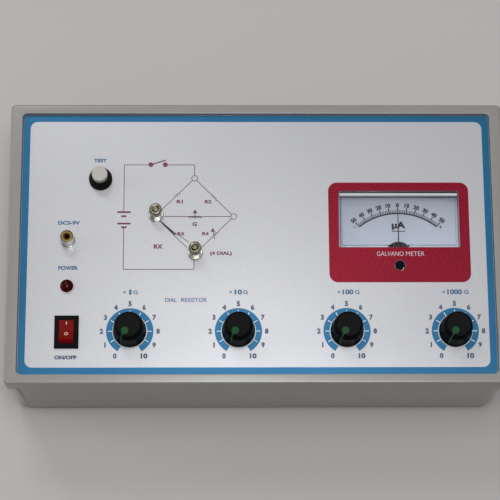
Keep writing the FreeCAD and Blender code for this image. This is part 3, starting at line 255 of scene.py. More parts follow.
METAL = {"Metallic": 1.0}
FILM_INK = {"Metallic": 0.26, "Specular IOR Level": 0.1}
COATED = {"Coat Weight": 0.5, "Coat Roughness": 0.15}
FINISHES = {
    "case_grey": finish("case_grey", paint(139, 138, 136), paint(132, 131, 129), 0.21, 0.04,
                        grains=1800.0, grain_strength=0.12, clouds=14.0),
    "panel_aluminium": finish("panel_film", paint(180, 181, 185), paint(168, 169, 173), 0.3, 0.04,
                              grains=2600.0, grain_strength=0.12, clouds=9.0, cloud_share=0.3,
                              pigment=1300.0, shader_sockets=FILM_INK),
    "border_blue": finish("border_blue", paint(40, 100, 138), paint(33, 90, 128), 0.3, 0.04,
                          grains=2600.0, grain_strength=0.12, shader_sockets=FILM_INK),
    "surround_red": finish("surround_red", paint(142, 20, 46), paint(98, 8, 24), 0.3, 0.04,
                           grains=2600.0, grain_strength=0.15, pigment=1000.0, cloud_share=0.2,
                           shader_sockets=FILM_INK),
    "lettering_grey": finish("lettering_grey", paint(40, 68, 98), paint(34, 60, 90), 0.5),
    "lettering_blue": finish("lettering_blue", paint(36, 92, 128), paint(30, 82, 118), 0.5),
    "lettering_light": finish("lettering_light", paint(58, 100, 140), paint(50, 92, 132), 0.5),
    "diagram_maroon": finish("diagram_maroon", paint(106, 26, 54), paint(94, 20, 46), 0.5),
    "diagram_line": finish("diagram_line", paint(96, 58, 76), paint(86, 48, 66), 0.5),
    "diagram_dark": finish("diagram_dark", paint(74, 66, 76), paint(64, 58, 68), 0.5),
    "tick_white": finish("tick_white", paint(214, 224, 232), paint(206, 218, 228), 0.5),
    # A painted highlight: the pale glint along the meter cover's back edge.
    "cover_edge_highlight": finish("cover_edge_highlight", paint(190, 192, 196), paint(178, 180, 184), 0.4,
                         clouds=60.0, cloud_share=0.8),
    "scale_ink": finish("scale_ink", paint(12, 12, 16), paint(8, 8, 12), 0.6,
                        shader_sockets={"Specular IOR Level": 0.1}),
    # The plate's colour darkens towards its top: a painted shadow of the window's upper edge.
    "scale_white": finish("scale_white", paint(178, 184, 198), paint(173, 179, 194), 0.55, cloud_share=0.5,
                          shadow_span=(0.0, 0.034, 0.62)),
    "foot_rubber": finish("foot_rubber", paint(38, 38, 38), paint(30, 30, 31), 0.8, grain_strength=0.3),
    "zinc_steel": finish("zinc_steel", paint(176, 174, 168), paint(160, 158, 150), 0.34, 0.15, shader_sockets=METAL),
    "moulded_black": finish("moulded_black", paint(16, 16, 17), paint(11, 11, 12), 0.5, 0.1,
                            grain_strength=0.15, shader_sockets={"Specular IOR Level": 0.03}),
    "magnet_iron": finish("magnet_iron", paint(96, 96, 98), paint(80, 80, 83), 0.5, 0.2, shader_sockets=METAL),
    "plated_brass": finish("plated_brass", paint(214, 206, 186), paint(200, 190, 166), 0.28, 0.12,
                           shader_sockets=METAL),
    "nickel_plate": finish("nickel_plate", paint(186, 184, 178), paint(168, 166, 160), 0.24, 0.1,
                           grain_strength=0.08, shader_sockets=METAL),
    "aged_brass": finish("aged_brass", paint(122, 118, 100), paint(52, 48, 38), 0.3, 0.15,
                         grains=900.0, grain_strength=0.8, grain_height=0.0001, pigment=700.0, cloud_share=0.1,
                         shader_sockets=METAL),
    "brass": finish("brass", paint(84, 58, 34), paint(70, 46, 26), 0.5, 0.15, shader_sockets=METAL),
    "coil_copper": finish("coil_copper", paint(176, 96, 58), paint(150, 76, 44), 0.35, 0.1,
                          grains=4000.0, grain_strength=0.4, shader_sockets=METAL),
    "pointer_black": finish("pointer_black", paint(16, 16, 19), paint(12, 12, 15), 0.5,
                            shader_sockets={"Specular IOR Level": 0.1}),
    "phenolic": finish("phenolic", paint(134, 86, 52), paint(112, 70, 42), 0.5, 0.1, clouds=60.0),
    "resistor_green": finish("resistor_green", paint(70, 122, 104), paint(58, 106, 92), 0.4),
    "rocker_red": finish("rocker_red", paint(116, 11, 11), paint(103, 9, 9), 0.45, 0.06, grain_strength=0.05,
                         shader_sockets={"Specular IOR Level": 0.06}),
    "cap_white": finish("cap_white", paint(178, 176, 172), paint(171, 168, 164), 0.45, 0.08,
                        grain_strength=0.06, shader_sockets={"Specular IOR Level": 0.3}),
    "spring_steel": finish("spring_steel", paint(168, 168, 168), paint(148, 148, 148), 0.3, 0.1,
                           shader_sockets=METAL),
    "jack_yellow": finish("jack_yellow", paint(146, 130, 64), paint(130, 114, 52), 0.4, 0.08,
                          grain_strength=0.06, shader_sockets={"Specular IOR Level": 0.1}),
    "lamp_nylon": finish("lamp_nylon", paint(214, 204, 200), paint(204, 192, 188), 0.35, 0.08,
                         grain_strength=0.05, shader_sockets=COATED),
    "lamp_red": finish("lamp_red", paint(58, 2, 5), paint(46, 2, 4), 0.12, 0.04, grain_strength=0.03,
                       shader_sockets={"Specular IOR Level": 0.12}),
    "knob_black": finish("knob_black", paint(17, 17, 18), paint(12, 12, 13), 0.24, 0.04, grains=2400.0,
                         grain_strength=0.04, shader_sockets={"Specular IOR Level": 0.006}),
    "knob_face": finish("knob_face", paint(17, 18, 18), paint(12, 13, 13), 0.6, 0.1, grains=2400.0,
                        grain_strength=0.3, shader_sockets={"Specular IOR Level": 0.06}),
    "marker_green": finish("marker_green", paint(22, 78, 42), paint(16, 66, 34), 0.5, 0.08,
                           shader_sockets={"Specular IOR Level": 0.1}),
    "marking_white": finish("marking_white", paint(222, 206, 202), paint(214, 196, 192), 0.45),
    "coil_tape": finish("coil_tape", paint(206, 176, 74), paint(190, 158, 60), 0.5, 0.1, clouds=40.0),
    "board_green": finish("board_green", paint(28, 92, 56), paint(20, 76, 46), 0.35, 0.1, clouds=80.0),
    "clear_plastic": finish("clear_plastic", paint(244, 247, 250), paint(240, 244, 248), 0.0, 0.0,
                            grain_strength=0.0,
                            shader_sockets={"Transmission Weight": 1.0, "IOR": 1.25}),
}

SLOTS = {subpart["node"]: subpart["material_slot"] for subpart in frame["record"]["subparts"]}
for node, slot in SLOTS.items():
    nodes[node].data.materials.clear()
    nodes[node].data.materials.append(FINISHES[slot])


# Mesh helpers

def moved(bm, x=0, y=0, z=0):
    bmesh.ops.translate(bm, vec=Vector((x, y, z)) * MM, verts=bm.verts)
    return bm


def settle(bm, name, material, body, smooth_below=SMOOTH_BELOW, turn_normals=True, flat=False):
    """The finished piece: normals out, smooth where it curves, dressed and riding on its body."""
    if turn_normals:
        bmesh.ops.recalc_face_normals(bm, faces=bm.faces)
    mesh = bpy.data.meshes.new(name)
    bm.to_mesh(mesh)
    bm.free()
    mesh.materials.append(FINISHES[material])
    mesh.polygons.foreach_set("use_smooth", [True] * len(mesh.polygons))
    mesh.set_sharp_from_angle(angle=math.radians(smooth_below))
    piece = bpy.data.objects.new(name, mesh)
    bpy.context.scene.collection.objects.link(piece)
    if not flat:
        shading = piece.modifiers.new("flat_faces_shade_flat", "WEIGHTED_NORMAL")
        shading.keep_sharp = True
    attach(piece, body)
    return piece


def soften_edges(bm, width, above=30, segments=3, where=None):
    """Rounds the edges that turn by more than an angle."""
    sharp = [edge for edge in bm.edges
             if len(edge.link_faces) == 2 and edge.calc_face_angle(0) > math.radians(above)
             and (where is None or where(edge))]
    bmesh.ops.bevel(bm, geom=sharp, offset=width * MM, offset_type="OFFSET", affect="EDGES",
                    segments=segments, profile=0.5, material=-1, clamp_overlap=True)
    return bm


def lathe(profile, steps=TURNED_STEPS):
    """A turned piece from (radius, height) points, about the upright axis."""
    bm = bmesh.new()
    points = [bm.verts.new((radius * MM, 0, height * MM)) for radius, height in profile]
    edges = [bm.edges.new(pair) for pair in zip(points, points[1:])]
    bmesh.ops.spin(bm, geom=points + edges, cent=(0, 0, 0), axis=(0, 0, 1), angle=2 * math.pi,
                   steps=steps, use_merge=True)
    bmesh.ops.remove_doubles(bm, verts=bm.verts, dist=0.000001)
    bmesh.ops.recalc_face_normals(bm, faces=bm.faces)
    return bm


def rounded_face(bm, length, depth, radius, x, y, z, segments=8):
    """A flat face with round corners."""
    before = set(bm.faces)
    made = bmesh.ops.create_grid(bm, x_segments=1, y_segments=1, size=0.5)["verts"]
    bmesh.ops.scale(bm, vec=(length * MM, depth * MM, 1), verts=made)
    bmesh.ops.translate(bm, vec=Vector((x, y, z)) * MM, verts=made)
    if radius > 0:
        bmesh.ops.bevel(bm, geom=made, offset=radius * MM, offset_type="OFFSET", affect="VERTICES",
                        segments=segments, profile=0.5, material=-1, clamp_overlap=False)
    return [face for face in bm.faces if face not in before][0]


def open_loop(bm, *outline, **options):
    """The same outline as a ring of edges alone."""
    face = rounded_face(bm, *outline, **options)
    edges = list(face.edges)
    bmesh.ops.delete(bm, geom=[face], context="FACES_ONLY")
    return edges


def banded(levels, segments):
    """A closed skin over a ring of round-cornered outlines, each bridged to the next."""
    bm = bmesh.new()
    loops = [open_loop(bm, *level, segments=segments) for level in levels]
    for low, high in [*zip(loops, loops[1:]), (loops[-1], loops[0])]:
        bmesh.ops.bridge_loops(bm, edges=low + high)
    return bm


def ring_plate(bm, outer, inner, segments=8):
    """A flat frame between two outlines at one height."""
    loops = open_loop(bm, *outer, segments=segments) + open_loop(bm, *inner, segments=segments)
    bmesh.ops.bridge_loops(bm, edges=loops)


def bar(bm, start, end, width, z):
    """A straight printed line."""
    ax, ay = start
    bx, by = end
    made = bmesh.ops.create_grid(bm, x_segments=1, y_segments=1, size=0.5)["verts"]
    bmesh.ops.scale(bm, vec=(math.hypot(bx - ax, by - ay) * MM, width * MM, 1), verts=made)
    turn = Matrix.Rotation(math.atan2(by - ay, bx - ax), 3, "Z")
    bmesh.ops.rotate(bm, cent=(0, 0, 0), matrix=turn, verts=made)
    bmesh.ops.translate(bm, vec=Vector(((ax + bx) / 2, (ay + by) / 2, z)) * MM, verts=made)


def path(bm, points, width, z):
    for start, end in zip(points, points[1:]):
        bar(bm, start, end, width, z)


def spot(bm, x, y, radius, z, steps=24, inner=0):
    """A printed dot, or a printed ring where it has an inner radius."""
    outer = bmesh.ops.create_circle(bm, cap_ends=inner == 0, segments=steps, radius=radius * MM)["verts"]
    made = list(outer)
    if inner > 0:
        hole = bmesh.ops.create_circle(bm, cap_ends=False, segments=steps, radius=inner * MM)["verts"]
        made += hole
        edges = {edge for vert in made for edge in vert.link_edges}
        bmesh.ops.bridge_loops(bm, edges=list(edges))
    bmesh.ops.translate(bm, vec=Vector((x, y, z)) * MM, verts=made)


def arc_band(bm, x, y, inner, outer, start, end, z):
    """A printed band along a circle, between two angles in degrees."""
    spread = []
    for radius in (inner, outer):
        turn = math.radians(start)
        spread.append(bm.verts.new(Vector((x + radius * math.cos(turn), y + radius * math.sin(turn), z)) * MM))
    edge = bm.edges.new(spread)
    bmesh.ops.spin(bm, geom=spread + [edge], cent=Vector((x, y, z)) * MM, axis=(0, 0, 1),
                   angle=math.radians(end - start), steps=ARC_STEPS)


def letters(bm, words, x, y, height, z, weight, width=None, turn=0):
    """Printed words, sized by the height of their capitals and set about a middle point."""
    curve = bpy.data.curves.new("words", "FONT")
    curve.body = words
    curve.resolution_u = 3
    curve.offset = weight
    holder = bpy.data.objects.new("words", curve)
    bpy.context.scene.collection.objects.link(holder)
    bpy.context.view_layer.update()
    seen = holder.evaluated_get(bpy.context.evaluated_depsgraph_get())
    mesh = bpy.data.meshes.new_from_object(seen)
    xs = [vert.co.x for vert in mesh.vertices]
    ys = [vert.co.y for vert in mesh.vertices]
    scale_y = height / (max(ys) - min(ys))
    scale_x = width / (max(xs) - min(xs)) if width else scale_y
    middle = Matrix.Translation(Vector((-(max(xs) + min(xs)) / 2, -(max(ys) + min(ys)) / 2, 0)))
    size = Matrix.Diagonal((scale_x * MM, scale_y * MM, MM, 1))
    place = Matrix.Translation(Vector((x, y, z)) * MM) @ Matrix.Rotation(math.radians(turn), 4, "Z")
    mesh.transform(place @ size @ middle)
    bm.from_mesh(mesh)
    bpy.data.objects.remove(holder)
    bpy.data.curves.remove(curve)
    bpy.data.meshes.remove(mesh)


def pour(bm, target):
    """Adds one mesh in the making to another."""
    mesh = bpy.data.meshes.new("part")
    bm.to_mesh(mesh)
    bm.free()
    target.from_mesh(mesh)
    bpy.data.meshes.remove(mesh)


def printed(bm, name, material, body="case"):
    """A printed layer, with every face turned up."""
    for face in bm.faces:
        if face.normal.z < 0:
            face.normal_flip()
    return settle(bm, name, material, body, turn_normals=False, flat=True)


def eased_copy(node, name, width, body="case", segments=2):
    """A piece made from a solid's own mesh, with its sharp edges eased."""
    bm = bmesh.new()
    bm.from_mesh(nodes[node].data)
    bmesh.ops.remove_doubles(bm, verts=bm.verts, dist=WELD)
    bmesh.ops.dissolve_limit(bm, angle_limit=math.radians(0.5), use_dissolve_boundaries=False,
                             verts=bm.verts, edges=bm.edges)
    if width > 0:
        soften_edges(bm, width, segments=segments)
    piece = settle(bm, name, SLOTS[node], body, turn_normals=False)
    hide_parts(node)
    return piece


# Case

def corner_levels(length, depth, radius, z, width, steps=4, outside=True):
    """Outlines round an edge: inwards and up from a wall to a flat top."""
    levels = []
    for index in range(steps + 1):
        turn = math.radians(90 * index / steps)
        move = width * (1 - math.cos(turn))
        rise = z - width + width * math.sin(turn)
        sign = -1 if outside else 1
        levels.append((length + 2 * sign * move, depth + 2 * sign * move, max(radius + sign * move, 0.4),
                       0, 0, rise))
    return levels


def make_bezel():
    """The upper moulding: drafted skirt, round rim, sunk opening and ledge.

    No two outlines lie at one height, because flat ones are bridged across their middle.
    """
    apart = 0.05
    skirt, ledge_top, ledge_low = RIM - 14.5, RIM - 5, RIM - 8
    inside, opening, window = (308.6, 176.6, 2.0, 0, 0), (299.0, 170.0, 2.5), (289.0, 160.0, 2.5, 0, 0)
    wall = [(*inside, skirt + apart), (315.0, 183.0, 3.0, 0, 0, skirt)]
    outer = corner_levels(314.28, 182.28, 3.0, RIM, 1.4)
    inner = list(reversed(corner_levels(*opening, RIM - apart, 0.5, 3, outside=False)))
    ledge = [(*opening, 0, 0, ledge_top), (*window, ledge_top - apart),
             (*window, ledge_low), (*inside, ledge_low - 2 * apart)]
    bm = banded(wall + outer + inner + ledge, segments=6)
    bezel = settle(bm, "bezel_moulding", "case_grey", "case")
    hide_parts("bezel_frame")


make_bezel()
eased_copy("lower_case", "lower_moulding", 0)


# Printed film

def make_panel_prints():
    """The border, and the meter's surround in two faces with a window and a screw hole."""
    bm = bmesh.new()
    ring_plate(bm, (298.1, 169.1, 2.1, 0, 0, PANEL + FILM), (289.25, 160.6, 4.6, 0, 0, PANEL + FILM))
    printed(bm, "blue_border", "border_blue")

    bm = bmesh.new()
    middle_x = (45.3 + 134.6) / 2
    top_edge, low_edge = 39.6, -26.0
    window = (76.5, 37.2, 1.0, METER_X, 15.4, PANEL + FILM)
    split = -4.6
    upper = rounded_face(bm, 89.3, top_edge - low_edge, 5.6, middle_x, (top_edge + low_edge) / 2, PANEL + FILM)
    bmesh.ops.bisect_plane(bm, geom=list(bm.verts) + list(bm.edges) + [upper],
                           plane_co=Vector((0, split, PANEL)) * MM, plane_no=(0, 1, 0))
    pieces = sorted(bm.faces, key=lambda face: face.calc_center_median().y)
    hole_rim = bmesh.ops.create_circle(bm, cap_ends=False, segments=40, radius=3.45 * MM)["verts"]
    bmesh.ops.translate(bm, vec=Vector((METER_X, -14.9, PANEL + FILM)) * MM, verts=hole_rim)
    window_rim = open_loop(bm, *window)
    low_rim = list(pieces[0].edges)
    high_rim = list(pieces[1].edges)
    bmesh.ops.delete(bm, geom=pieces, context="FACES_ONLY")
    bmesh.ops.triangle_fill(bm, use_beauty=True, edges=high_rim + window_rim)
    hole_edges = list({edge for vert in hole_rim for edge in vert.link_edges})
    bmesh.ops.triangle_fill(bm, use_beauty=True, edges=low_rim + hole_edges)
    printed(bm, "meter_surround_print", "surround_red")


make_panel_prints()


def make_dial_prints():
    """A ring with ticks and numbers round each knob."""
    ring = bmesh.new()
    ticks = bmesh.new()
    numbers = bmesh.new()
    for x in DIALS.values():
        arc_band(ring, x, DIAL_Y, 10.95, 14.75, -60, 240, PANEL + PRINT)
        for value in range(11):
            angle = math.radians(240 - 30 * value)
            across = (math.cos(angle), math.sin(angle))
            if 0 < value < 10:
                bar(ticks, (x + 10.9 * across[0], DIAL_Y + 10.9 * across[1]),
                    (x + 13.6 * across[0], DIAL_Y + 13.6 * across[1]), 0.5, PANEL + INK)
            reach = 18.2 if value in (0, 10) else 17.6
            letters(numbers, str(value), x + reach * across[0], DIAL_Y + reach * across[1], 3.4, PANEL + INK,
                    width=4.3 if value == 10 else None, weight=0.055)
    printed(ring, "dial_rings", "border_blue")
    printed(ticks, "dial_ticks", "tick_white")
    printed(numbers, "dial_numbers", "lettering_grey")


make_dial_prints()


def make_labels():
    """The names of the controls and of the ranges."""
    words = bmesh.new()
    z = PANEL + INK
    letters(words, "ON/OFF", -119.4, -73.9, 2.6, z, width=13.9, weight=0.06)
    printed(words, "switch_words", "lettering_grey")
    bright = bmesh.new()
    letters(bright, "POWER", -118.8, -16.55, 2.6, z, width=12.5, weight=0.05)
    letters(bright, "TEST", -99.7, 54.25, 2.4, z, width=8.2, weight=0.045)
    letters(bright, "DC3-9V", -118.8, 12.9, 2.6, z, width=13.8, weight=0.05)
    for number, sign, left, right, ohm in (("1", -83.2, -80.4, -78.9, -76.3), ("10", -16.8, -14.4, -9.6, -7.6),
                                           ("100", 51.0, 53.3, 60.2, 62.6), ("1000", 116.8, 119.1, 128.5, 131.1)):
        letters(bright, "×", sign, -32.3, 1.6, z, weight=0.045)
        letters(bright, number, (left + right) / 2, -32.2, 3.3, z, width=right - left, weight=0.045)
        letters(bright, "Ω", ohm, -32.3, 2.6, z, width=2.8, weight=0.035)
    printed(bright, "control_words", "lettering_blue")
    light = bmesh.new()
    letters(light, "DIAL", -54.2, -37.3, 2.7, z, width=7.4, weight=0.02)
    letters(light, "RESISTOR", -39.7, -37.3, 2.7, z, width=16.3, weight=0.02)
    printed(light, "range_words", "lettering_light")
    white = bmesh.new()
    letters(white, "GALVANO", 83.9, -7.4, 2.8, z, width=16.8, weight=-0.018)
    letters(white, "METER", 99.7, -7.4, 2.8, z, width=11.6, weight=-0.02)
    printed(white, "meter_caption", "tick_white")


make_labels()


def zigzag(bm, start, end, width, z, teeth, swing, share):
    """A resistor's sign in the middle of a line."""
    ax, ay = start
    bx, by = end
    length = math.hypot(bx - ax, by - ay)
    along = ((bx - ax) / length, (by - ay) / length)
    side = (-along[1], along[0])
    half = length * share / 2
    points = [start]
    steps = teeth * 4
    for index in range(steps + 1):
        place = length / 2 - half + 2 * half * index / steps
        offset = 0 if index % 2 == 0 else swing * (1 if index % 4 == 1 else -1)
        points.append((ax + along[0] * place + side[0] * offset, ay + along[1] * place + side[1] * offset))
    points.append(end)
    path(bm, points, width, z)


def arrow(bm, tail, tip, width, z, head):
    """A line with a small solid head that points up the panel."""
    bar(bm, tail, tip, width, z)
    made = bmesh.ops.create_circle(bm, cap_ends=True, segments=3, radius=head * MM)["verts"]
    bmesh.ops.translate(bm, vec=Vector((tip[0], tip[1] - head, z + FILM)) * MM, verts=made)


def make_diagram():
    """The circuit: thin lines, bold signs, a dark wedge and letters."""
    bm = bmesh.new()
    z = PANEL + INK
    line = 0.46
    path(bm, [(-84.4, 20.0), (-84.4, 51.4), (-67.5, 51.4)], line, z)
    path(bm, [(-58.3, 51.4), (-39.6, 51.4), (-39.6, 44.3)], line, z)
    path(bm, [(-84.3, 10.1), (-84.3, -17.5), (-39.8, -17.5), (-39.8, -11.2)], line, z)
    spot(bm, -39.6, 42.4, 2.05, z, inner=1.6)
    spot(bm, -14.8, 17.1, 2.05, z, inner=1.6)
    zigzag(bm, (-41.0, 40.9), (-60.2, 21.8), line, z, teeth=2, swing=0.8, share=0.14)
    zigzag(bm, (-38.2, 40.9), (-16.3, 18.6), line, z, teeth=3, swing=0.7, share=0.17)
    zigzag(bm, (-16.2, 15.6), (-36.0, -4.2), line, z, teeth=2, swing=0.85, share=0.13)
    bar(bm, (-58.9, 17.1), (-16.8, 17.1), line, z)
    zigzag(bm, (-43.6, 16.7), (-35.2, 16.7), 0.42, z, teeth=5, swing=0.75, share=0.98)
    path(bm, [(-61.5, 14.4), (-52.0, 6.3), (-43.0, 0.2)], line, z)
    path(bm, [(-61.3, 13.9), (-51.2, 3.4), (-44.3, -3.3)], line, z)
    printed(bm, "circuit_lines", "diagram_line")
    bold = bmesh.new()
    bar(bold, (-67.5, 51.5), (-57.9, 54.6), 0.8, z)
    for x in (-67.5, -58.3):
        spot(bold, x, 51.5, 1.6, z + FILM)
    for y, left, right in ((20.0, -88.5, -80.0), (17.3, -86.0, -82.7), (12.45, -88.3, -80.0), (10.05, -85.9, -82.5)):
        bar(bold, (left, y), (right, y), 1.2, z)
    arrow(bold, (-39.3, 15.7), (-39.3, 21.8), 0.5, z, head=1.75)
    arrow(bold, (-26.9, 2.2), (-28.0, 9.6), 0.5, z, head=1.7)
    printed(bold, "circuit_signs", "diagram_maroon")
    wedge = bmesh.new()
    for end, width in (((-52.5, 6.4), 0.4), ((-53.0, 6.1), 0.7), ((-52.2, 5.4), 0.4)):
        bar(wedge, (-61.0, 13.9), end, width, z + FILM)
    spot(wedge, -52.0, 5.7, 0.85, z + FILM)
    printed(wedge, "circuit_wedge", "diagram_dark")
    words = bmesh.new()
    for text, x, y, height, wide in (("R1", -49.0, 26.9, 2.3, 4.0), ("R2", -31.0, 26.9, 2.3, 4.2),
                                     ("R3", -48.3, 5.7, 2.3, 4.2), ("R4", -32.7, 5.8, 2.3, 4.2),
                                     ("RX", -62.4, -2.6, 2.9, 5.8), ("G", -39.5, 12.1, 2.7, 2.9)):
        letters(words, text, x, y, height, z, width=wide, weight=0.05)
    letters(words, "(4 DIAL)", -22.9, -7.3, 2.9, z, width=13.8, weight=0.045)
    printed(words, "circuit_words", "diagram_maroon")


make_diagram()


# Meter

def on_arc(radius, angle):
    """A place on the scale, by its angle to the right of straight up."""
    turn = math.radians(angle)
    return METER_X + radius * math.sin(turn), PIVOT_Y + radius * math.cos(turn)


def make_scale():
    """What is printed on the meter's plate, with painted shade along the window's edges, and a painted highlight on
    the edge of its cover.
    """
    bm = bmesh.new()
    z = PLATE + INK
    arc_band(bm, METER_X, PIVOT_Y, 38.3, 39.2, 90 - 5 * SCALE_STEP, 90 + 5 * SCALE_STEP, z)
    for index in range(-25, 26):
        angle = index * SCALE_STEP / 5
        reach, width = (42.6, 0.65) if index % 5 == 0 else (41.0, 0.5)
        bar(bm, on_arc(38.9, angle), on_arc(reach, angle), width, z)
    for index in range(-5, 6):
        x, y = on_arc(44.3, index * SCALE_STEP)
        letters(bm, str(abs(index) * 10), x, y, 2.9, z, turn=-index * SCALE_STEP, weight=0.055)
    letters(bm, "µA", 90.4, 13.1, 5.5, z, width=8.8, weight=0.05)
    bar(bm, (86.1, 9.5), (94.7, 9.5), 0.55, z)
    bar(bm, (61.5, 12.2), (63.5, 12.2), 0.4, z)
    bar(bm, (116.2, 12.2), (118.2, 12.2), 0.45, z)
    bar(bm, (117.2, 11.2), (117.2, 13.2), 0.45, z)
    # Dark lines along the plate's left, top and right edges: painted shade under the window's rim.
    path(bm, [(53.4, -2.9), (53.4, 32.1), (128.6, 32.1), (128.6, -2.9)], 0.42, z)
    printed(bm, "meter_scale_print_and_shade", "scale_ink")
    # A pale strip on the cover over the window's back edge: a painted highlight of the cover's edge.
    highlight_strip = bmesh.new()
    bar(highlight_strip, (52.6, 31.7), (127.4, 31.7), 1.6, COVER_TOP + INK)
    printed(highlight_strip, "meter_cover_highlight", "cover_edge_highlight")


make_scale()

# The lights reach the plate straight through the cover.
cover = eased_copy("meter_cover", "meter_window", 0.15)
cover.visible_shadow = False
cover.visible_diffuse = False


# Knobs, button, jack, lamp and posts

def make_knob(name, x):
    """A turned knob, with a matt face on top."""
    outside = [(8.4, 0.8), (10.4, 0.8), (10.4, 2.3), (9.9, 3.8), (9.2, 15.0), (8.2, 18.3), (7.5, 19.2), (0, 19.2)]
    bm = lathe([(0, 7.0), (8.4, 7.0)] + outside, steps=96)
    soften_edges(bm, 0.9, above=10, segments=4, where=lambda edge: edge.verts[0].co.z > 0.014)
    soften_edges(bm, 0.3, above=20, segments=3, where=lambda edge: edge.verts[0].co.z < 0.004)
    for face in bm.faces:
        face.material_index = int(face.normal.z > 0.99 and face.calc_center_median().z > 0.0185)
    knob = settle(moved(bm, x, DIAL_Y, PANEL), "knob_" + name, "knob_black", "dial_" + name)
    knob.data.materials.append(FINISHES["knob_face"])
    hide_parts("dial_knob_" + name)


for name, x in DIALS.items():
    make_knob(name, x)


def make_test_button():
    """The black body, and the cap with a pocket that takes its spring."""
    bm = lathe([(0, -12.0), (5.2, -12.0), (5.2, 8.4), (5.9, 8.4), (7.4, 2.2), (7.4, 0), (6.0, 0), (6.0, -14.0),
                (0, -14.0)])
    soften_edges(bm, 0.25, above=20)
    body = settle(moved(bm, *TEST, PANEL), "push_button_body", "moulded_black", "case")
    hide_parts("test_button_body")
    bm = lathe([(0, 12.7), (4.95, 12.7), (4.95, 2.2), (4.1, 2.2), (4.1, 5.4), (2.7, 5.4), (2.7, 2.2), (2.0, 2.2),
                (2.0, -14.1), (3.0, -14.1), (3.0, -15.1), (2.0, -15.1), (2.0, -17.0), (0, -17.0)])
    soften_edges(bm, 0.7, above=30, segments=4, where=lambda edge: edge.verts[0].co.z > 0.01)
    cap = settle(moved(bm, *TEST, PANEL), "push_button_cap", "cap_white", "test_button")
    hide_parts("test_button_cap")


make_test_button()


def make_jack():
    """The barrel with its dull rim, and the yellow face, the wall of its hole painted black as shade."""
    bm = lathe([(2.4, -9.0), (3.2, -9.0), (3.2, 0), (4.5, 0), (4.5, 1.4), (4.15, 1.4), (4.15, 11.6), (3.35, 11.6),
                (3.35, 1.4), (2.4, 1.4), (2.4, -9.0)])
    soften_edges(bm, 0.18, above=30)
    for face in bm.faces:
        face.material_index = int(face.calc_center_median().z > 0.0112)
    shell = settle(moved(bm, *JACK, PANEL), "jack_barrel", "nickel_plate", "case")
    shell.data.materials.append(FINISHES["aged_brass"])
    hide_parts("dc_jack_shell")
    bm = lathe([(2.1, 1.4), (3.33, 1.4), (3.33, 11.1), (2.1, 11.1), (2.1, 1.4)])
    soften_edges(bm, 0.2, above=30)
    # Faces near the axis, the hole's inner wall, take the black finish: painted shade inside the hole.
    for face in bm.faces:
        middle = face.calc_center_median()
        face.material_index = int(math.hypot(middle.x, middle.y) < 0.00225)
    insulator = settle(moved(bm, *JACK, PANEL), "jack_face", "jack_yellow", "case")
    insulator.data.materials.append(FINISHES["moulded_black"])
    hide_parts("dc_jack_insulator")


make_jack()


def make_lamp():
    """The pale flange under a red dome."""
    bm = lathe([(0, -2.1), (2.9, -2.1), (2.9, 0.9), (4.6, 0.9), (4.9, 0), (3.8, 0), (3.8, -12.0), (0, -12.0)])
    soften_edges(bm, 0.25, above=20)
    holder = settle(moved(bm, *LAMP, PANEL), "lamp_flange", "lamp_nylon", "case")
    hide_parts("power_lamp_body")
    dome = [(4.2 * math.sin(math.radians(angle)), 0.9 + 3.2 * math.cos(math.radians(angle)))
            for angle in range(0, 91, 6)]
    bm = lathe(dome + [(2.85, 0.9), (2.85, -2.0), (0, -2.0)])
    lens = settle(moved(bm, *LAMP, PANEL), "lamp_dome", "lamp_red", "case", smooth_below=50)
    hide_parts("power_lamp_lens")


make_lamp()


def knurl(bm, low, high, radius, depth):
    """Presses every other upright row of a turned head inwards."""
    for vert in bm.verts:
        reach = math.hypot(vert.co.x, vert.co.y) / MM
        if reach > radius and low < vert.co.z / MM < high:
            row = round(math.degrees(math.atan2(vert.co.y, vert.co.x)) * TURNED_STEPS / 360)
            if row % 2:
                share = 1 - depth / reach
                vert.co.x *= share
                vert.co.y *= share


def level(edge):
    """Whether an edge lies flat."""
    return abs(edge.verts[0].co.z - edge.verts[1].co.z) < 0.0001


def make_posts():
    """The studs with their base rings, and the knurled heads."""
    studs = bmesh.new()
    for x, y in POSTS.values():
        bm = lathe([(0, 14.4), (1.5, 14.4), (2.0, 13.9), (2.0, 1.6), (4.45, 1.6), (4.75, 1.3), (4.75, 0), (2.0, 0),
                    (2.0, -16.0), (0, -16.0)])
        soften_edges(bm, 0.15, above=30)
        pour(moved(bm, x, y, PANEL), studs)
    for face in studs.faces:
        face.material_index = int(face.calc_center_median().z > (PANEL + 13) * MM)
    piece = settle(studs, "binding_studs", "nickel_plate", "case")
    piece.data.materials.append(FINISHES["aged_brass"])
    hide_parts("post_studs")
    for name, (x, y) in POSTS.items():
        bm = lathe([(2.06, 2.6), (3.4, 2.6), (3.4, 7.2), (3.45, 7.5), (3.9, 7.8), (3.9, 13.3), (3.45, 13.9),
                    (2.06, 13.9), (2.06, 2.6)])
        knurl(bm, 7.7, 13.5, 3.8, 0.22)
        soften_edges(bm, 0.12, above=40, segments=2, where=level)
        for face in bm.faces:
            face.material_index = int(face.calc_center_median().z > 0.0074)
        head = settle(moved(bm, x, y, PANEL), "thumb_nut_dress_" + name, "nickel_plate", "thumb_nut_" + name,
                      smooth_below=25)
        head.data.materials.append(FINISHES["aged_brass"])
        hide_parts("post_cap_" + name)


make_posts()


# Rocker switch

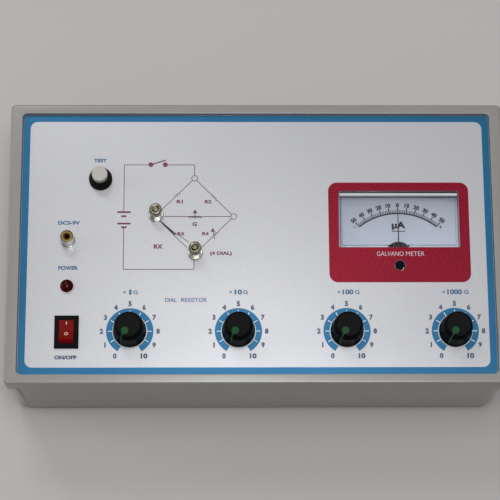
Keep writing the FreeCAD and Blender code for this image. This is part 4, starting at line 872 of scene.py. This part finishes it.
def make_rocker():
    """The surround, the key and the two marks printed on it."""
    eased_copy("rocker_frame", "rocker_surround", 0.25, segments=3)
    key = eased_copy("rocker_paddle", "rocker_key", 0.25, body="power_rocker", segments=3)
    x, y = ROCKER
    slope = math.radians(24)
    pivot_level, pivot_offset, ring_place, clear = PANEL + 2, 0.89, 1.6, 0.07
    marks = bmesh.new()
    bar(marks, (x, y + 4.6), (x, y + 6.4), 0.45, pivot_level + INK)
    ring = bmesh.new()
    spot(ring, 0, 0, 1.15, 0, steps=28, inner=0.75)
    bmesh.ops.rotate(ring, cent=(0, 0, 0), matrix=Matrix.Rotation(-slope, 3, "X"), verts=ring.verts)
    rise = pivot_level + (pivot_offset + ring_place) * math.tan(slope) + clear
    pour(moved(ring, x, y - ring_place, rise), marks)
    printed(marks, "rocker_marks", "marking_white", body="power_rocker")


make_rocker()

for node, name, width in (("mains_inlet_body", "inlet_moulding", 0.2), ("mains_inlet_pins", "inlet_blades", 0.25),
                          ("rubber_feet", "feet", 0), ("case_screws", "closing_screws", 0)):
    eased_copy(node, name, width)


# Floor, light and camera

def make_floor():
    """A pale table, which can't be seen from below."""
    bm = bmesh.new()
    bmesh.ops.create_grid(bm, x_segments=1, y_segments=1, size=3.0)
    mesh = bpy.data.meshes.new("table")
    bm.to_mesh(mesh)
    bm.free()
    material = bpy.data.materials.new("table_pale")
    material.use_nodes = True
    shader = material.node_tree.nodes["Principled BSDF"]
    shader.inputs["Base Color"].default_value = paint(178, 177, 175)
    shader.inputs["Roughness"].default_value = 0.7
    sides = material.node_tree.nodes.new("ShaderNodeNewGeometry")
    clear = material.node_tree.nodes.new("ShaderNodeBsdfTransparent")
    mix = material.node_tree.nodes.new("ShaderNodeMixShader")
    out = material.node_tree.nodes["Material Output"]
    for source, target in ((sides.outputs["Backfacing"], mix.inputs["Fac"]), (shader.outputs["BSDF"], mix.inputs[1]),
                           (clear.outputs["BSDF"], mix.inputs[2]), (mix.outputs["Shader"], out.inputs["Surface"])):
        material.node_tree.links.new(source, target)
    mesh.materials.append(material)
    table = bpy.data.objects.new("table", mesh)
    table.location = (0, 0, -0.00005)
    bpy.context.scene.collection.objects.link(table)


def make_light(name, place, size, power):
    """A soft square light turned to the middle of the instrument."""
    lamp = bpy.data.lights.new(name, "AREA")
    lamp.energy = power
    lamp.size = size
    holder = bpy.data.objects.new(name, lamp)
    holder.location = place
    away = Vector(place) - Vector(LIGHT_AIM)
    holder.rotation_euler = away.to_track_quat("Z", "Y").to_euler()
    bpy.context.scene.collection.objects.link(holder)


def make_studio():
    """Soft lights over a pale table, and the camera of the photograph."""
    make_floor()
    make_light("window_light", (-0.43, 1.2, 2.15), 0.45, 7.4)
    make_light("side_light", (-1.1, 1.77, 2.07), 0.3, 6.5)
    make_light("overhead_light", (0.1, -0.25, 2.4), 0.7, 24.8)
    make_light("ceiling_light", (-0.016, 0.27, 1.98), 0.2, 2.1)
    make_light("ceiling_glow", (0.06, 0.34, 2.0), 0.6, 1.2)
    make_light("left_fill", (-1.8, 0.2, 0.6), 1.0, 8.5)
    world = bpy.data.worlds.new("room")
    world.use_nodes = True
    background = world.node_tree.nodes["Background"]
    background.inputs["Color"].default_value = (1.0, 0.97, 0.965, 1)
    background.inputs["Strength"].default_value = 0.238
    bpy.context.scene.world = world
    bpy.context.scene.view_settings.view_transform = "Standard"
    lens = bpy.data.cameras.new("camera")
    lens.sensor_width = 36
    lens.lens = 134.74
    camera = bpy.data.objects.new("camera", lens)
    camera.location = (-0.02414, -0.31493, 1.22235)
    camera.rotation_euler = tuple(math.radians(angle) for angle in (15.237, -0.908, -0.284))
    bpy.context.scene.collection.objects.link(camera)
    bpy.context.scene.camera = camera


make_studio()
